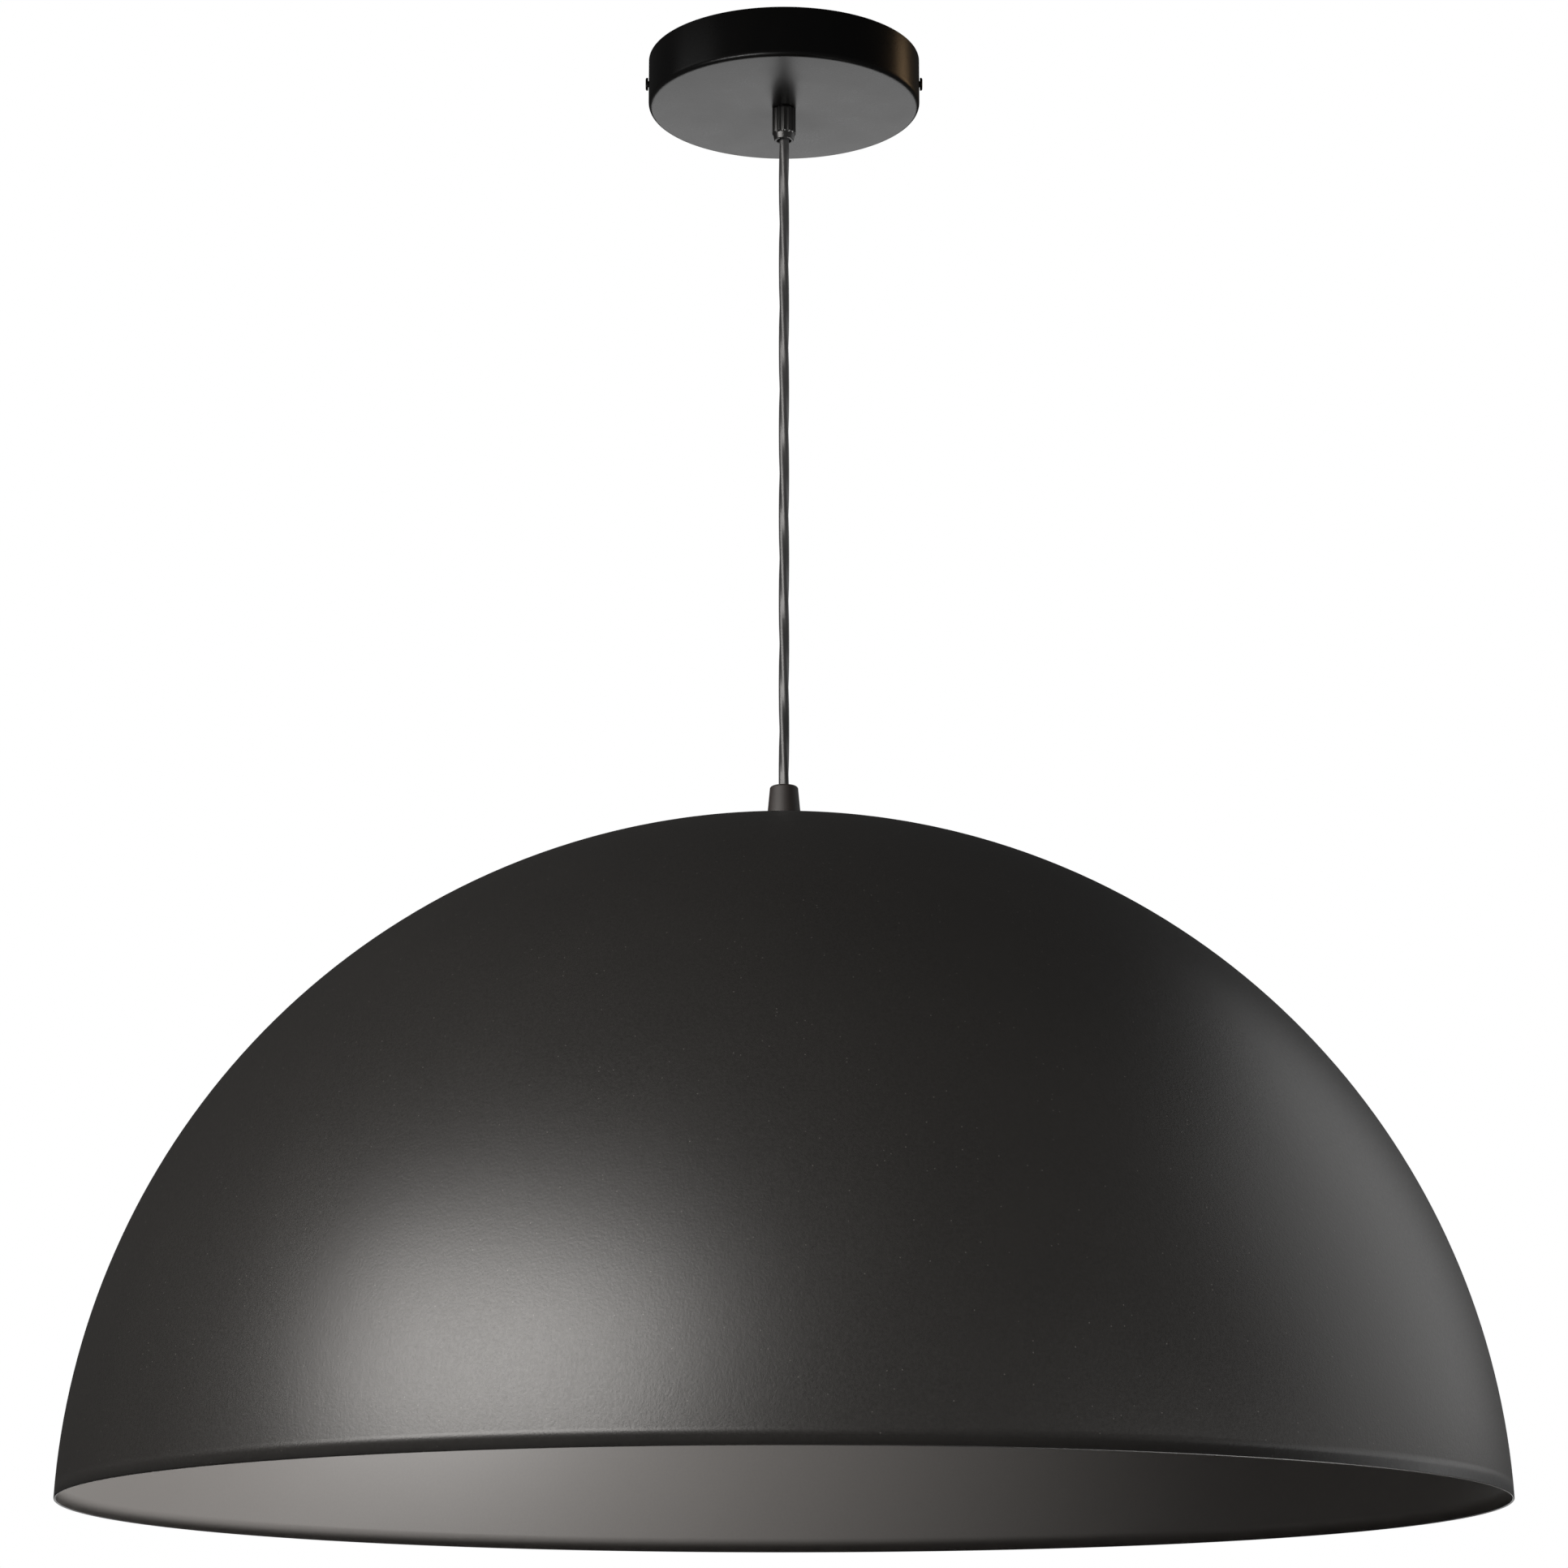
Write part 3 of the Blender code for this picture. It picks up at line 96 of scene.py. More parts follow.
def softbox(name, round_to, above, distance, width, height, power, tint=(1.0, 1.0, 1.0)):
    """A rectangular light that faces the shade's rim from so many degrees round to the right of the
    front and above the level."""
    turn, rise = math.radians(round_to), math.radians(above)
    level = math.cos(rise)
    direction = Vector((math.sin(turn) * level, -math.cos(turn) * level, math.sin(rise)))
    data = bpy.data.lights.new(name, "AREA")
    data.shape = "RECTANGLE"
    data.size, data.size_y = width, height
    data.energy = power
    data.color = tint
    made = link(name, data)
    middle = Vector((0.0, 0.0, SHADE_LOW.z))
    made.location = middle + direction * distance
    made.rotation_euler = (-direction).to_track_quat("-Z", "Y").to_euler()
    made.visible_camera = False
    return made


camera()


# --- node trees -----------------------------------------------------------------------------------

class Value:
    """A number, vector or colour in a node tree. Numbers take part in ordinary arithmetic."""

    def __init__(self, tree, socket):
        self.tree = tree
        self.socket = socket

    def __add__(self, other):
        return self.tree.maths("ADD", self, other)

    def __radd__(self, other):
        return self.tree.maths("ADD", other, self)

    def __sub__(self, other):
        return self.tree.maths("SUBTRACT", self, other)

    def __rsub__(self, other):
        return self.tree.maths("SUBTRACT", other, self)

    def __mul__(self, other):
        return self.tree.maths("MULTIPLY", self, other)

    def __rmul__(self, other):
        return self.tree.maths("MULTIPLY", other, self)

    def __truediv__(self, other):
        return self.tree.maths("DIVIDE", self, other)

    def __rtruediv__(self, other):
        return self.tree.maths("DIVIDE", other, self)

    def __pow__(self, other):
        return self.tree.maths("POWER", self, other)


class Made:
    """A node that was just made. Its outputs are found by name or by number."""

    def __init__(self, tree, node):
        self.tree = tree
        self.node = node

    def __getitem__(self, key):
        return Value(self.tree, find(self.node.outputs, key))


def find(sockets, key):
    if isinstance(key, int):
        return sockets[key]
    named = [s for s in sockets if s.identifier == key] or [s for s in sockets if s.name == key]
    return named[0]


class Tree:
    """A node tree, with one method that makes every node."""

    def __init__(self, tree):
        self.tree = tree

    def put(self, socket, value):
        if isinstance(value, Value):
            self.tree.links.new(value.socket, socket)
        else:
            socket.default_value = value

    def node(self, kind, settings=None, values=None):
        node = self.tree.nodes.new(kind)
        for key, value in (settings or {}).items():
            if key == "stops":
                set_stops(node.color_ramp, value)
            else:
                setattr(node, key, value)
        for key, value in (values or {}).items():
            self.put(find(node.inputs, key), value)
        return Made(self, node)

    def maths(self, operation, *terms):
        return self.node("ShaderNodeMath", {"operation": operation}, dict(enumerate(terms)))[0]

    def mix(self, share, first, second):
        """A colour between two others."""
        values = {"Factor_Float": share, "A_Color": first, "B_Color": second}
        return self.node("ShaderNodeMix", {"data_type": "RGBA"}, values)["Result_Color"]

    def smooth_step(self, value, low, high):
        values = {"Value": value, "From Min": low, "From Max": high}
        return self.node("ShaderNodeMapRange", {"interpolation_type": "SMOOTHSTEP"}, values)[0]


def set_stops(ramp, stops):
    while len(ramp.elements) < len(stops):
        ramp.elements.new(1.0)
    for element, (place, colour) in zip(ramp.elements, stops):
        element.position = place
        element.color = colour


def grey(level):
    return (level, level, level, 1.0)


def rgb(red, green, blue):
    return (red, green, blue, 1.0)


class Finish(Tree):
    """A material whose patterns are laid in metres over the object's own frame."""

    def __init__(self, name, constants):
        self.material = bpy.data.materials.new(name)
        self.material.use_nodes = True
        super().__init__(self.material.node_tree)
        self.shader = self.tree.nodes["Principled BSDF"]
        for key, value in constants.items():
            self.shader.inputs[key].default_value = value
        self.place = self.node("ShaderNodeTexCoord")["Object"]
        self.normal = None

    def feed(self, key, value):
        self.put(self.shader.inputs[key], value)

    def split(self, vector):
        parts = self.node("ShaderNodeSeparateXYZ", {}, {0: vector})
        return parts[0], parts[1], parts[2]

    def stretched(self, scale):
        return self.node("ShaderNodeMapping", {}, {"Vector": self.place, "Scale": scale})[0]

    def noise(self, size, detail=2.0, place=None):
        """Noise from 0 to 1 whose lumps are about size metres across."""
        values = {"Vector": place or self.place, "Scale": 1.0 / size, "Detail": detail}
        return self.node("ShaderNodeTexNoise", {}, values)[0]

    def cells(self, size):
        """Cells about size metres across, with the distance to each middle and a colour for each."""
        values = {"Vector": self.place, "Scale": 1.0 / size}
        return self.node("ShaderNodeTexVoronoi", {}, values)

    def bump(self, height, depth, strength=1.0):
        """Relief of depth metres, laid over any that is there already."""
        values = {"Height": height, "Distance": depth, "Strength": strength}
        if self.normal:
            values["Normal"] = self.normal
        self.normal = self.node("ShaderNodeBump", {}, values)["Normal"]
        self.feed("Normal", self.normal)


# --- finishes -------------------------------------------------------------------------------------

def powder_coat():
    """Fine-textured matt black powder coat, with pale specks in it."""
    f = Finish("black_powder_coat_outside", {"IOR": 1.5, "Specular IOR Level": 0.5})
    grain = f.noise(1.1 * MM, 3.0)
    fine = f.noise(0.45 * MM, 2.0)
    cloud = f.noise(70 * MM, 3.0)
    speck = f.cells(2.6 * MM)
    bright = f.smooth_step(speck[0], 0.13, 0.05)
    rare = f.maths("GREATER_THAN", f.split(speck["Color"])[0], 0.8)
    base = f.mix(grain, rgb(0.0090, 0.0086, 0.0082), rgb(0.0155, 0.0148, 0.0142))
    base = f.mix(cloud * 0.35, base, rgb(0.0180, 0.0168, 0.0154))
    f.feed("Base Color", f.mix(bright * rare * 0.5, base, rgb(0.12, 0.115, 0.108)))
    f.feed("Roughness", 0.40 + (grain - 0.5) * 0.14 + (cloud - 0.5) * 0.05)
    f.bump(f.noise(5.0 * MM, 1.0), 0.05 * MM, 0.5)
    f.bump(grain, 0.11 * MM, 0.5)
    f.bump(fine, 0.05 * MM, 0.5)
    return f.material


def inner_paint():
    """Smoother satin paint inside the shade, over the faint rings that spinning leaves."""
    f = Finish("satin_paint_inside", {"IOR": 1.5})
    grain = f.noise(0.9 * MM, 2.0)
    cloud = f.noise(90 * MM, 2.0)
    height = f.split(f.place)[2]
    rings = f.maths("SINE", height * (math.tau / (4.5 * MM)) + f.noise(40 * MM) * 2.0)
    base = f.mix(grain, rgb(0.162, 0.154, 0.148), rgb(0.190, 0.181, 0.174))
    f.feed("Base Color", f.mix(cloud * 0.3, base, rgb(0.205, 0.196, 0.188)))
    f.feed("Roughness", 0.46 + (grain - 0.5) * 0.08)
    f.bump(rings, 0.004 * MM, 0.4)
    f.bump(grain, 0.03 * MM, 0.5)
    return f.material


def rose_paint():
    """Satin black paint, a little grainy and dusty."""
    f = Finish("satin_black_rose_paint", {"IOR": 1.5})
    grain = f.noise(0.7 * MM, 2.0)
    cloud = f.noise(16 * MM, 3.0)
    dust = f.cells(1.9 * MM)
    mote = f.smooth_step(dust[0], 0.10, 0.04) * f.maths("GREATER_THAN", f.split(dust["Color"])[0], 0.93)
    base = f.mix(cloud, rgb(0.0060, 0.0057, 0.0055), rgb(0.0100, 0.0094, 0.0090))
    f.feed("Base Color", f.mix(mote * 0.4, base, rgb(0.12, 0.115, 0.11)))
    f.feed("Roughness", 0.30 + (cloud - 0.5) * 0.08 + (grain - 0.5) * 0.12)
    f.bump(f.noise(3.0 * MM, 1.0), 0.015 * MM, 0.4)
    f.bump(grain, 0.035 * MM, 0.6)
    return f.material


def moulded(name, dark, light, roughness, pits=0.35 * MM):
    """Plastic moulded in a spark-eroded tool: a fine even grain, and faint flow marks."""
    f = Finish(name, {"IOR": 1.48})
    grain = f.noise(pits, 2.0)
    flow = f.noise(6 * MM, 2.0, f.stretched((1.0, 1.0, 0.35)))
    f.feed("Base Color", f.mix(flow * 0.7 + grain * 0.3, dark, light))
    f.feed("Roughness", roughness + (flow - 0.5) * 0.10 + (grain - 0.5) * 0.08)
    f.bump(grain, 0.02 * MM, 0.6)
    return f.material


def sheath():
    """Satin cord sheath, with drawing lines that run along it."""
    f = Finish("cord_sheath_satin", {"IOR": 1.48})
    along = f.node("ShaderNodeUVMap", {"uv_map": "wrap"})[0]
    streaks = f.node("ShaderNodeMapping", {}, {"Vector": along, "Scale": (26.0, 30.0, 1.0)})[0]
    lines = f.noise(1.0, 3.0, streaks)
    cloud = f.noise(9 * MM, 2.0)
    grain = f.noise(0.3 * MM, 2.0)
    dark, light = rgb(0.009, 0.009, 0.0092), rgb(0.036, 0.036, 0.0365)
    f.feed("Base Color", f.mix(lines * 0.6 + cloud * 0.4, dark, light))
    f.feed("Roughness", 0.40 + (lines - 0.5) * 0.16 + (cloud - 0.5) * 0.06)
    f.bump(lines, 0.03 * MM, 0.5)
    f.bump(grain, 0.01 * MM, 0.4)
    return f.material


def metal(name, dark, light, roughness, streak=(1.0, 1.0, 1.0), spangle=0.0):
    """Plated or drawn metal. streak stretches its fine lines, and spangle shows its crystals."""
    f = Finish(name, {"Metallic": 1.0})
    lines = f.noise(0.5 * MM, 3.0, f.stretched(streak))
    cloud = f.noise(7 * MM, 3.0)
    tone = lines * 0.45 + cloud * 0.55
    if spangle:
        tone = tone * (1.0 - spangle) + f.split(f.cells(3.2 * MM)["Color"])[0] * spangle
    f.feed("Base Color", f.mix(tone, dark, light))
    f.feed("Roughness", roughness + (tone - 0.5) * 0.22)
    f.bump(lines, 0.012 * MM, 0.5)
    return f.material


def threaded_metal(name, dark, light, roughness, pitch):
    """Metal with a fine screw thread round the upright axis. Its colour is painted lighter on the thread's
    crests and darker in its roots: painted highlight and painted shade.
    """
    f = Finish(name, {"Metallic": 1.0})
    x, y, height = f.split(f.place)
    turn = f.maths("ARCTAN2", y, x) / math.tau
    wave = f.maths("PINGPONG", height / pitch + turn, 0.5) * 2.0
    cloud = f.noise(3 * MM, 3.0)
    # painted highlight and painted shade: the colour follows the thread's relief, light on the crests and
    # dark in the roots
    f.feed("Base Color", f.mix(wave * 0.6 + cloud * 0.4, dark, light))
    f.feed("Roughness", roughness + (cloud - 0.5) * 0.2)
    f.bump(wave, 0.35 * pitch, 0.6)
    return f.material


def glazed():
    """White glazed ceramic with a few fired-in specks."""
    f = Finish("glazed_ceramic", {"IOR": 1.5, "Coat Weight": 0.6, "Coat Roughness": 0.08})
    speck = f.cells(2.0 * MM)
    spot = f.smooth_step(speck[0], 0.16, 0.06) * f.maths("GREATER_THAN", f.split(speck["Color"])[1], 0.82)
    base = f.mix(f.noise(12 * MM, 2.0), rgb(0.74, 0.71, 0.65), rgb(0.84, 0.82, 0.77))
    f.feed("Base Color", f.mix(spot * 0.5, base, rgb(0.30, 0.22, 0.15)))
    f.feed("Roughness", 0.32 + f.noise(4 * MM, 2.0) * 0.1)
    f.bump(f.noise(3 * MM, 2.0), 0.03 * MM, 0.5)
    return f.material


def opal():
    """Opal lamp glass: milky white under a clear gloss, slightly uneven where it was blown."""
    f = Finish("opal_lamp_glass", {"IOR": 1.5, "Coat Weight": 0.7, "Coat Roughness": 0.06})
    powder = f.noise(1.2 * MM, 3.0)
    cloud = f.noise(18 * MM, 2.0)
    dark, light = rgb(0.80, 0.79, 0.755), rgb(0.90, 0.895, 0.875)
    f.feed("Base Color", f.mix(powder * 0.4 + cloud * 0.6, dark, light))
    f.feed("Roughness", 0.34 + (powder - 0.5) * 0.12)
    f.bump(f.noise(14 * MM, 1.0), 0.10 * MM, 0.4)
    return f.material


def plain_glass(name, dark, light):
    f = Finish(name, {"IOR": 1.52, "Coat Weight": 0.5, "Coat Roughness": 0.05})
    cloud = f.noise(2.5 * MM, 2.0)
    f.feed("Base Color", f.mix(cloud, dark, light))
    f.feed("Roughness", 0.12 + cloud * 0.12)
    f.bump(cloud, 0.04 * MM, 0.4)
    return f.material


def insulation(name, dark, light, stripe=None):
    """Extruded core insulation. A stripe runs along it on two sides, as on an earth core."""
    f = Finish(name, {"IOR": 1.48})
    along = f.node("ShaderNodeUVMap", {"uv_map": "wrap"})[0]
    cloud = f.noise(2.2 * MM, 2.0)
    colour = f.mix(cloud, dark, light)
    if stripe:
        around = f.split(along)[0]
        band = f.smooth_step(f.maths("PINGPONG", around, 0.25), 0.115, 0.135)
        colour = f.mix(band, colour, stripe)
    f.feed("Base Color", colour)
    f.feed("Roughness", 0.38 + (cloud - 0.5) * 0.14)
    f.bump(f.noise(0.4 * MM, 2.0), 0.01 * MM, 0.5)
    return f.material


POWDER_COAT = powder_coat()
INNER_PAINT = inner_paint()
ROSE_PAINT = rose_paint()
SHEATH = sheath()
WARM_PLASTIC = moulded(
    "warm_dark_plastic", rgb(0.0105, 0.0080, 0.0072), rgb(0.0170, 0.0135, 0.0122), 0.62)
BLACK_PLASTIC = moulded(
    "black_moulded_plastic", rgb(0.0045, 0.0045, 0.0045), rgb(0.0095, 0.0095, 0.0092), 0.33)
WHITE_PLASTIC = moulded(
    "white_block_plastic", rgb(0.70, 0.69, 0.64), rgb(0.82, 0.81, 0.77), 0.42, 0.5 * MM)
ZINC = metal(
    "zinc_plated_steel", rgb(0.40, 0.41, 0.43), rgb(0.70, 0.71, 0.72), 0.34, (1.0, 1.0, 1.0), 0.35)
STRAP_ZINC = metal(
    "zinc_plated_strap", rgb(0.42, 0.43, 0.45), rgb(0.72, 0.73, 0.74), 0.36, (0.06, 1.0, 1.0), 0.25)
ROD_ZINC = threaded_metal(
    "zinc_threaded_rod", rgb(0.34, 0.35, 0.36), rgb(0.68, 0.69, 0.70), 0.34, 1.0 * MM)
STEEL = metal("plain_steel", rgb(0.40, 0.40, 0.41), rgb(0.60, 0.60, 0.61), 0.4)
NYLON = moulded("black_nylon_screw", rgb(0.016, 0.016, 0.016), rgb(0.034, 0.034, 0.033), 0.5)
BRASS = metal("drawn_brass", rgb(0.50, 0.34, 0.12), rgb(0.80, 0.60, 0.27), 0.30, (1.0, 0.1, 1.0))
NICKEL = metal("nickel_plate", rgb(0.50, 0.48, 0.45), rgb(0.76, 0.75, 0.72), 0.24, (1.0, 1.0, 0.4))
TUNGSTEN = metal("drawn_tungsten", rgb(0.22, 0.21, 0.20), rgb(0.42, 0.40, 0.38), 0.45)
CERAMIC = glazed()
OPAL = opal()
BLACK_GLASS = plain_glass("black_glass_insulator", rgb(0.008, 0.008, 0.010), rgb(0.020, 0.020, 0.024))
STEM_GLASS = plain_glass("pale_stem_glass", rgb(0.72, 0.74, 0.74), rgb(0.84, 0.86, 0.86))
CORE_FINISHES = {
    "live": insulation("brown_core", rgb(0.10, 0.036, 0.014), rgb(0.18, 0.070, 0.030)),
    "neutral": insulation("blue_core", rgb(0.014, 0.060, 0.30), rgb(0.035, 0.12, 0.48)),
    "earth": insulation(
        "green_and_yellow_core", rgb(0.045, 0.26, 0.035), rgb(0.08, 0.36, 0.06), rgb(0.85, 0.66, 0.04)),
}


# --- mesh making ----------------------------------------------------------------------------------

def mesh_piece(name, points, faces, finish, sharp=40.0, wrap=None):
    """An object from points and faces. wrap gives each face corner a place on the surface."""
    data = bpy.data.meshes.new(name)
    data.from_pydata([tuple(p) for p in points], [], faces)
    if wrap:
        layer = data.uv_layers.new(name="wrap")
        for loop, place in zip(layer.data, wrap):
            loop.uv = place
    data.shade_smooth()
    data.set_sharp_from_angle(angle=math.radians(sharp))
    data.materials.append(finish)
    return link(name, data)


def softened(profile, steps=4):
    """The closed outline, with each corner that has a third number rounded to that radius."""
    corners = [Vector(p[:2]) for p in profile]
    found = []
    for number, point in enumerate(profile):
        here = corners[number]
        if len(point) < 3:
            found.append(here)
            continue
        back = corners[number - 1] - here
        on = corners[(number + 1) % len(corners)] - here
        half = back.angle(on) / 2
        reach = min(point[2] / math.tan(half), 0.48 * back.length, 0.48 * on.length)
        start, end = here + back.normalized() * reach, here + on.normalized() * reach
        for step in range(steps + 1):
            t = step / steps
            found.append(start * (1 - t) ** 2 + here * 2 * t * (1 - t) + end * t ** 2)
    return found


def turned(name, z, profile, finish, segments=128, rule=None, steps=4):
    """A turned piece. profile lists (radius, height above z, corner radius) anticlockwise, seen with
    the axis at the left: a closed loop, or a line from one pole to the other."""
    outline = softened(profile, steps)
    closed = outline[0].x > 0.0
    points, rings = [], []
    for radius, height in outline:
        start = len(points)
        if radius == 0.0:
            points.append((0.0, 0.0, z + height))
            rings.append([start] * segments)
            continue
        for step in range(segments):
            angle = math.tau * step / segments
            reach = rule(radius, height, angle) if rule else radius
            points.append((reach * math.cos(angle), reach * math.sin(angle), z + height))
        rings.append(list(range(start, start + segments)))
    faces = []
    pairs = list(zip(rings, rings[1:])) + ([(rings[-1], rings[0])] if closed else [])
    for lower, upper in pairs:
        for step in range(segments):
            after = (step + 1) % segments
            corners = [lower[step], lower[after], upper[after], upper[step]]
            faces.append(list(dict.fromkeys(corners)))
    return mesh_piece(name, points, faces, finish)


def smooth_route(points, steps):
    """Points on a smooth curve through the route's own, with steps to each stretch."""
    route = [Vector(p) for p in points]
    ends = [2 * route[0] - route[1]] + route + [2 * route[-1] - route[-2]]
    found = []
    for before, start, end, after in zip(ends, ends[1:], ends[2:], ends[3:]):
        for step in range(steps):
            t = step / steps
            pull = (end - before) * t + (2 * before - 5 * start + 4 * end - after) * t ** 2
            found.append(start + 0.5 * (pull + (3 * start - before - 3 * end + after) * t ** 3))
    return found + [route[-1]]


def tube(name, route, radius, finish, segments=16, shape=None):
    """A closed tube along a route. shape(angle, distance) scales the radius round and along it."""
    points, rings, distances = [], [], []
    side = Vector((1.0, 0.0, 0.0))
    travelled = 0.0
    for number, place in enumerate(route):
        before, after = route[max(number - 1, 0)], route[min(number + 1, len(route) - 1)]
        forward = (after - before).normalized()
        side = (side - forward * side.dot(forward))
        if side.length < 0.1:
            side = forward.orthogonal()
        side = side.normalized()
        across = forward.cross(side)
        if number:
            travelled += (place - route[number - 1]).length
        distances.append(travelled)
        rings.append(len(points))
        for step in range(segments):
            angle = math.tau * step / segments
            reach = radius * (shape(angle, travelled) if shape else 1.0)
            points.append(place + (side * math.cos(angle) + across * math.sin(angle)) * reach)
    faces, wrap = [], []
    for number, (start, on) in enumerate(zip(rings, rings[1:])):
        for step in range(segments):
            after = (step + 1) % segments
            faces.append([start + step, start + after, on + after, on + step])
            left, right = step / segments, (step + 1) / segments
            low, high = distances[number], distances[number + 1]
            wrap += [(left, low), (right, low), (right, high), (left, high)]
    faces.append(list(range(segments))[::-1])
    faces.append(list(range(rings[-1], rings[-1] + segments)))
    wrap += [(0.5, 0.0)] * segments + [(0.5, travelled)] * segments
    return mesh_piece(name, points, faces, finish, 50.0, wrap)


def stand_in(piece, body, *nodes):
    """The piece rides on a body and stands for those CAD nodes."""
    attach(piece, body)
    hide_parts(*nodes)


# --- the cord -------------------------------------------------------------------------------------

CORD_LAY = 117 * MM  # one turn of the three cores
CORD_GROOVE = 0.15  # depth of the grooves between the cores, as a share of the radius


def lobes(top):
    """The sheath's shape over three twisted cores, from the height where the piece starts."""
    def shape(angle, travelled):
        turn = -math.tau * (top - travelled) / CORD_LAY
        wave = 0.5 - 0.5 * math.cos(3 * (angle + turn))
        return 1.0 - CORD_GROOVE * wave ** 1.6
    return shape


def cord_length(name, top, bottom, nodes):
    """One stretch of the cord between two heights, which stands for those CAD nodes."""
    count = max(12, round((top - bottom) / (1.5 * MM)))
    route = [Vector((0.0, 0.0, top + (bottom - top) * step / count)) for step in range(count + 1)]
    piece = tube(name, route, CORD_RADIUS, SHEATH, 36, lobes(top))
    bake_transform(piece)
    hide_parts(*nodes)


def cord():
    half = (TOP_PIVOT_X - TOP_PIVOT_Y) / 2
    top_middle = TOP_PIVOT_X - half
    low_middle = LOW_PIVOT_X - half
    upper_end, lower_start = -0.120, -0.262
    cord_length(
        "cord_end_in_rose", CORD_TOP, top_middle,
        ["cord_in_rose"])
    cord_length(
        "cord_below_grip", top_middle, upper_end,
        ["cord_bend_top", "cord_upper"])
    cord_length(
        "cord_middle_length", upper_end, lower_start,
        ["cord_lower"])
    cord_length(
        "cord_above_cap", lower_start, low_middle,
        ["cord_bend_bottom"])
    cord_length(
        "cord_end_in_holder", low_middle, CORD_BOTTOM,
        ["cord_in_holder"])


cord()


# --- geometry node trees --------------------------------------------------------------------------

class Shape(Tree):
    """A geometry node tree with named inputs."""

    def __init__(self, name, inputs):
        tree = bpy.data.node_groups.new(name, "GeometryNodeTree")
        super().__init__(tree)
        tree.interface.new_socket("Geometry", in_out="INPUT", socket_type="NodeSocketGeometry")
        for key, kind in inputs.items():
            tree.interface.new_socket(key, in_out="INPUT", socket_type="NodeSocket" + kind)
        tree.interface.new_socket("Geometry", in_out="OUTPUT", socket_type="NodeSocketGeometry")
        self.given = self.node("NodeGroupInput")

    def vector(self, x, y, z):
        return self.node("ShaderNodeCombineXYZ", {}, {0: x, 1: y, 2: z})[0]

    def placed(self, geometry, position):
        return self.node("GeometryNodeSetPosition", {}, {"Geometry": geometry, "Position": position})[0]

    def joined(self, *parts):
        node = self.tree.nodes.new("GeometryNodeJoinGeometry")
        for part in parts:
            self.tree.links.new(part.socket, node.inputs[0])
        return Value(self, node.outputs[0])

    def finished(self, geometry, *finishes):
        """The tree's end: instances made real, then each finish laid on the faces it belongs to."""
        geometry = self.node("GeometryNodeRealizeInstances", {}, {0: geometry})[0]
        for finish, selection in finishes:
            values = {"Geometry": geometry, "Material": finish}
            if selection:
                values["Selection"] = selection
            geometry = self.node("GeometryNodeSetMaterial", {}, values)[0]
        self.node("NodeGroupOutput", {}, {0: geometry})


def shaped(name, tree, values):
    """The plain mesh that a tree makes."""
    holder = link(name + "_source", bpy.data.meshes.new(name + "_source"))
    modifier = holder.modifiers.new("shape", "NODES")
    modifier.node_group = tree.tree
    for item in tree.tree.interface.items_tree:
        if item.name in values:
            modifier[item.identifier] = values[item.name]
    evaluated = holder.evaluated_get(bpy.context.evaluated_depsgraph_get())
    data = bpy.data.meshes.new_from_object(evaluated)
    data.name = name
    holder.modifiers.clear()
    bpy.data.objects.remove(holder)
    return link(name, data)


def spun_dome_shape():
    """Part of a sphere spun from sheet: an outer and an inner skin, a rolled rim and a rolled hole."""
    inputs = {
        "Rim Radius": "Float", "Height": "Float", "Wall": "Float", "Hole Radius": "Float",
        "Rim Level": "Float", "Segments": "Int", "Rings": "Int", "Roll Steps": "Int",
        "Outside": "Material", "Inside": "Material",
    }
    s = Shape("spun_dome", inputs)
    given = s.given
    rim, height, wall = given["Rim Radius"], given["Height"], given["Wall"]
    curve = (rim * rim + height * height) / (height * 2.0)
    middle = given["Rim Level"] + height - curve
    low = s.maths("ARCSINE", (curve - height) / curve)
    half = wall / 2.0
    core = curve - half
    high = s.maths("ARCCOSINE", (given["Hole Radius"] + half) / core)
    x, y = sheet_places(s)

    def skin(radius, inward):
        angle = (y + 0.5) * (high - low) + low
        reach = radius * s.maths("COSINE", angle)
        level = radius * s.maths("SINE", angle) + middle
        return spun(s, given["Rings"], x, reach, level, inward)

    def roll(angle, turn):
        """A half round edge about the wall's middle line, from the outer skin to the inner one."""
        swing = (y + 0.5) * math.pi * turn + angle
        reach = core * s.maths("COSINE", angle) + half * s.maths("COSINE", swing)
        level = core * s.maths("SINE", angle) + half * s.maths("SINE", swing) + middle
        return spun(s, given["Roll Steps"], x, reach, level, turn > 0)

    inner = s.node(
        "GeometryNodeStoreNamedAttribute", {"data_type": "BOOLEAN", "domain": "FACE"},
        {"Geometry": skin(curve - wall, True), "Name": "inner", "Value": True})[0]
    whole = s.joined(skin(curve, False), inner, roll(low, -1.0), roll(high, 1.0))
    whole = s.node("GeometryNodeMergeByDistance", {}, {"Geometry": whole, "Distance": 0.004 * MM})[0]
    whole = s.node("GeometryNodeSetShadeSmooth", {}, {"Geometry": whole})[0]
    marked = s.node("GeometryNodeInputNamedAttribute", {"data_type": "BOOLEAN"}, {"Name": "inner"})[0]
    s.finished(whole, (given["Outside"], None), (given["Inside"], marked))
    return s


def sheet_places(s):
    """The two places of a point on a flat square sheet, each from -0.5 to 0.5."""
    position = s.node("GeometryNodeInputPosition")[0]
    parts = s.node("ShaderNodeSeparateXYZ", {}, {0: position})
    return parts[0], parts[1]


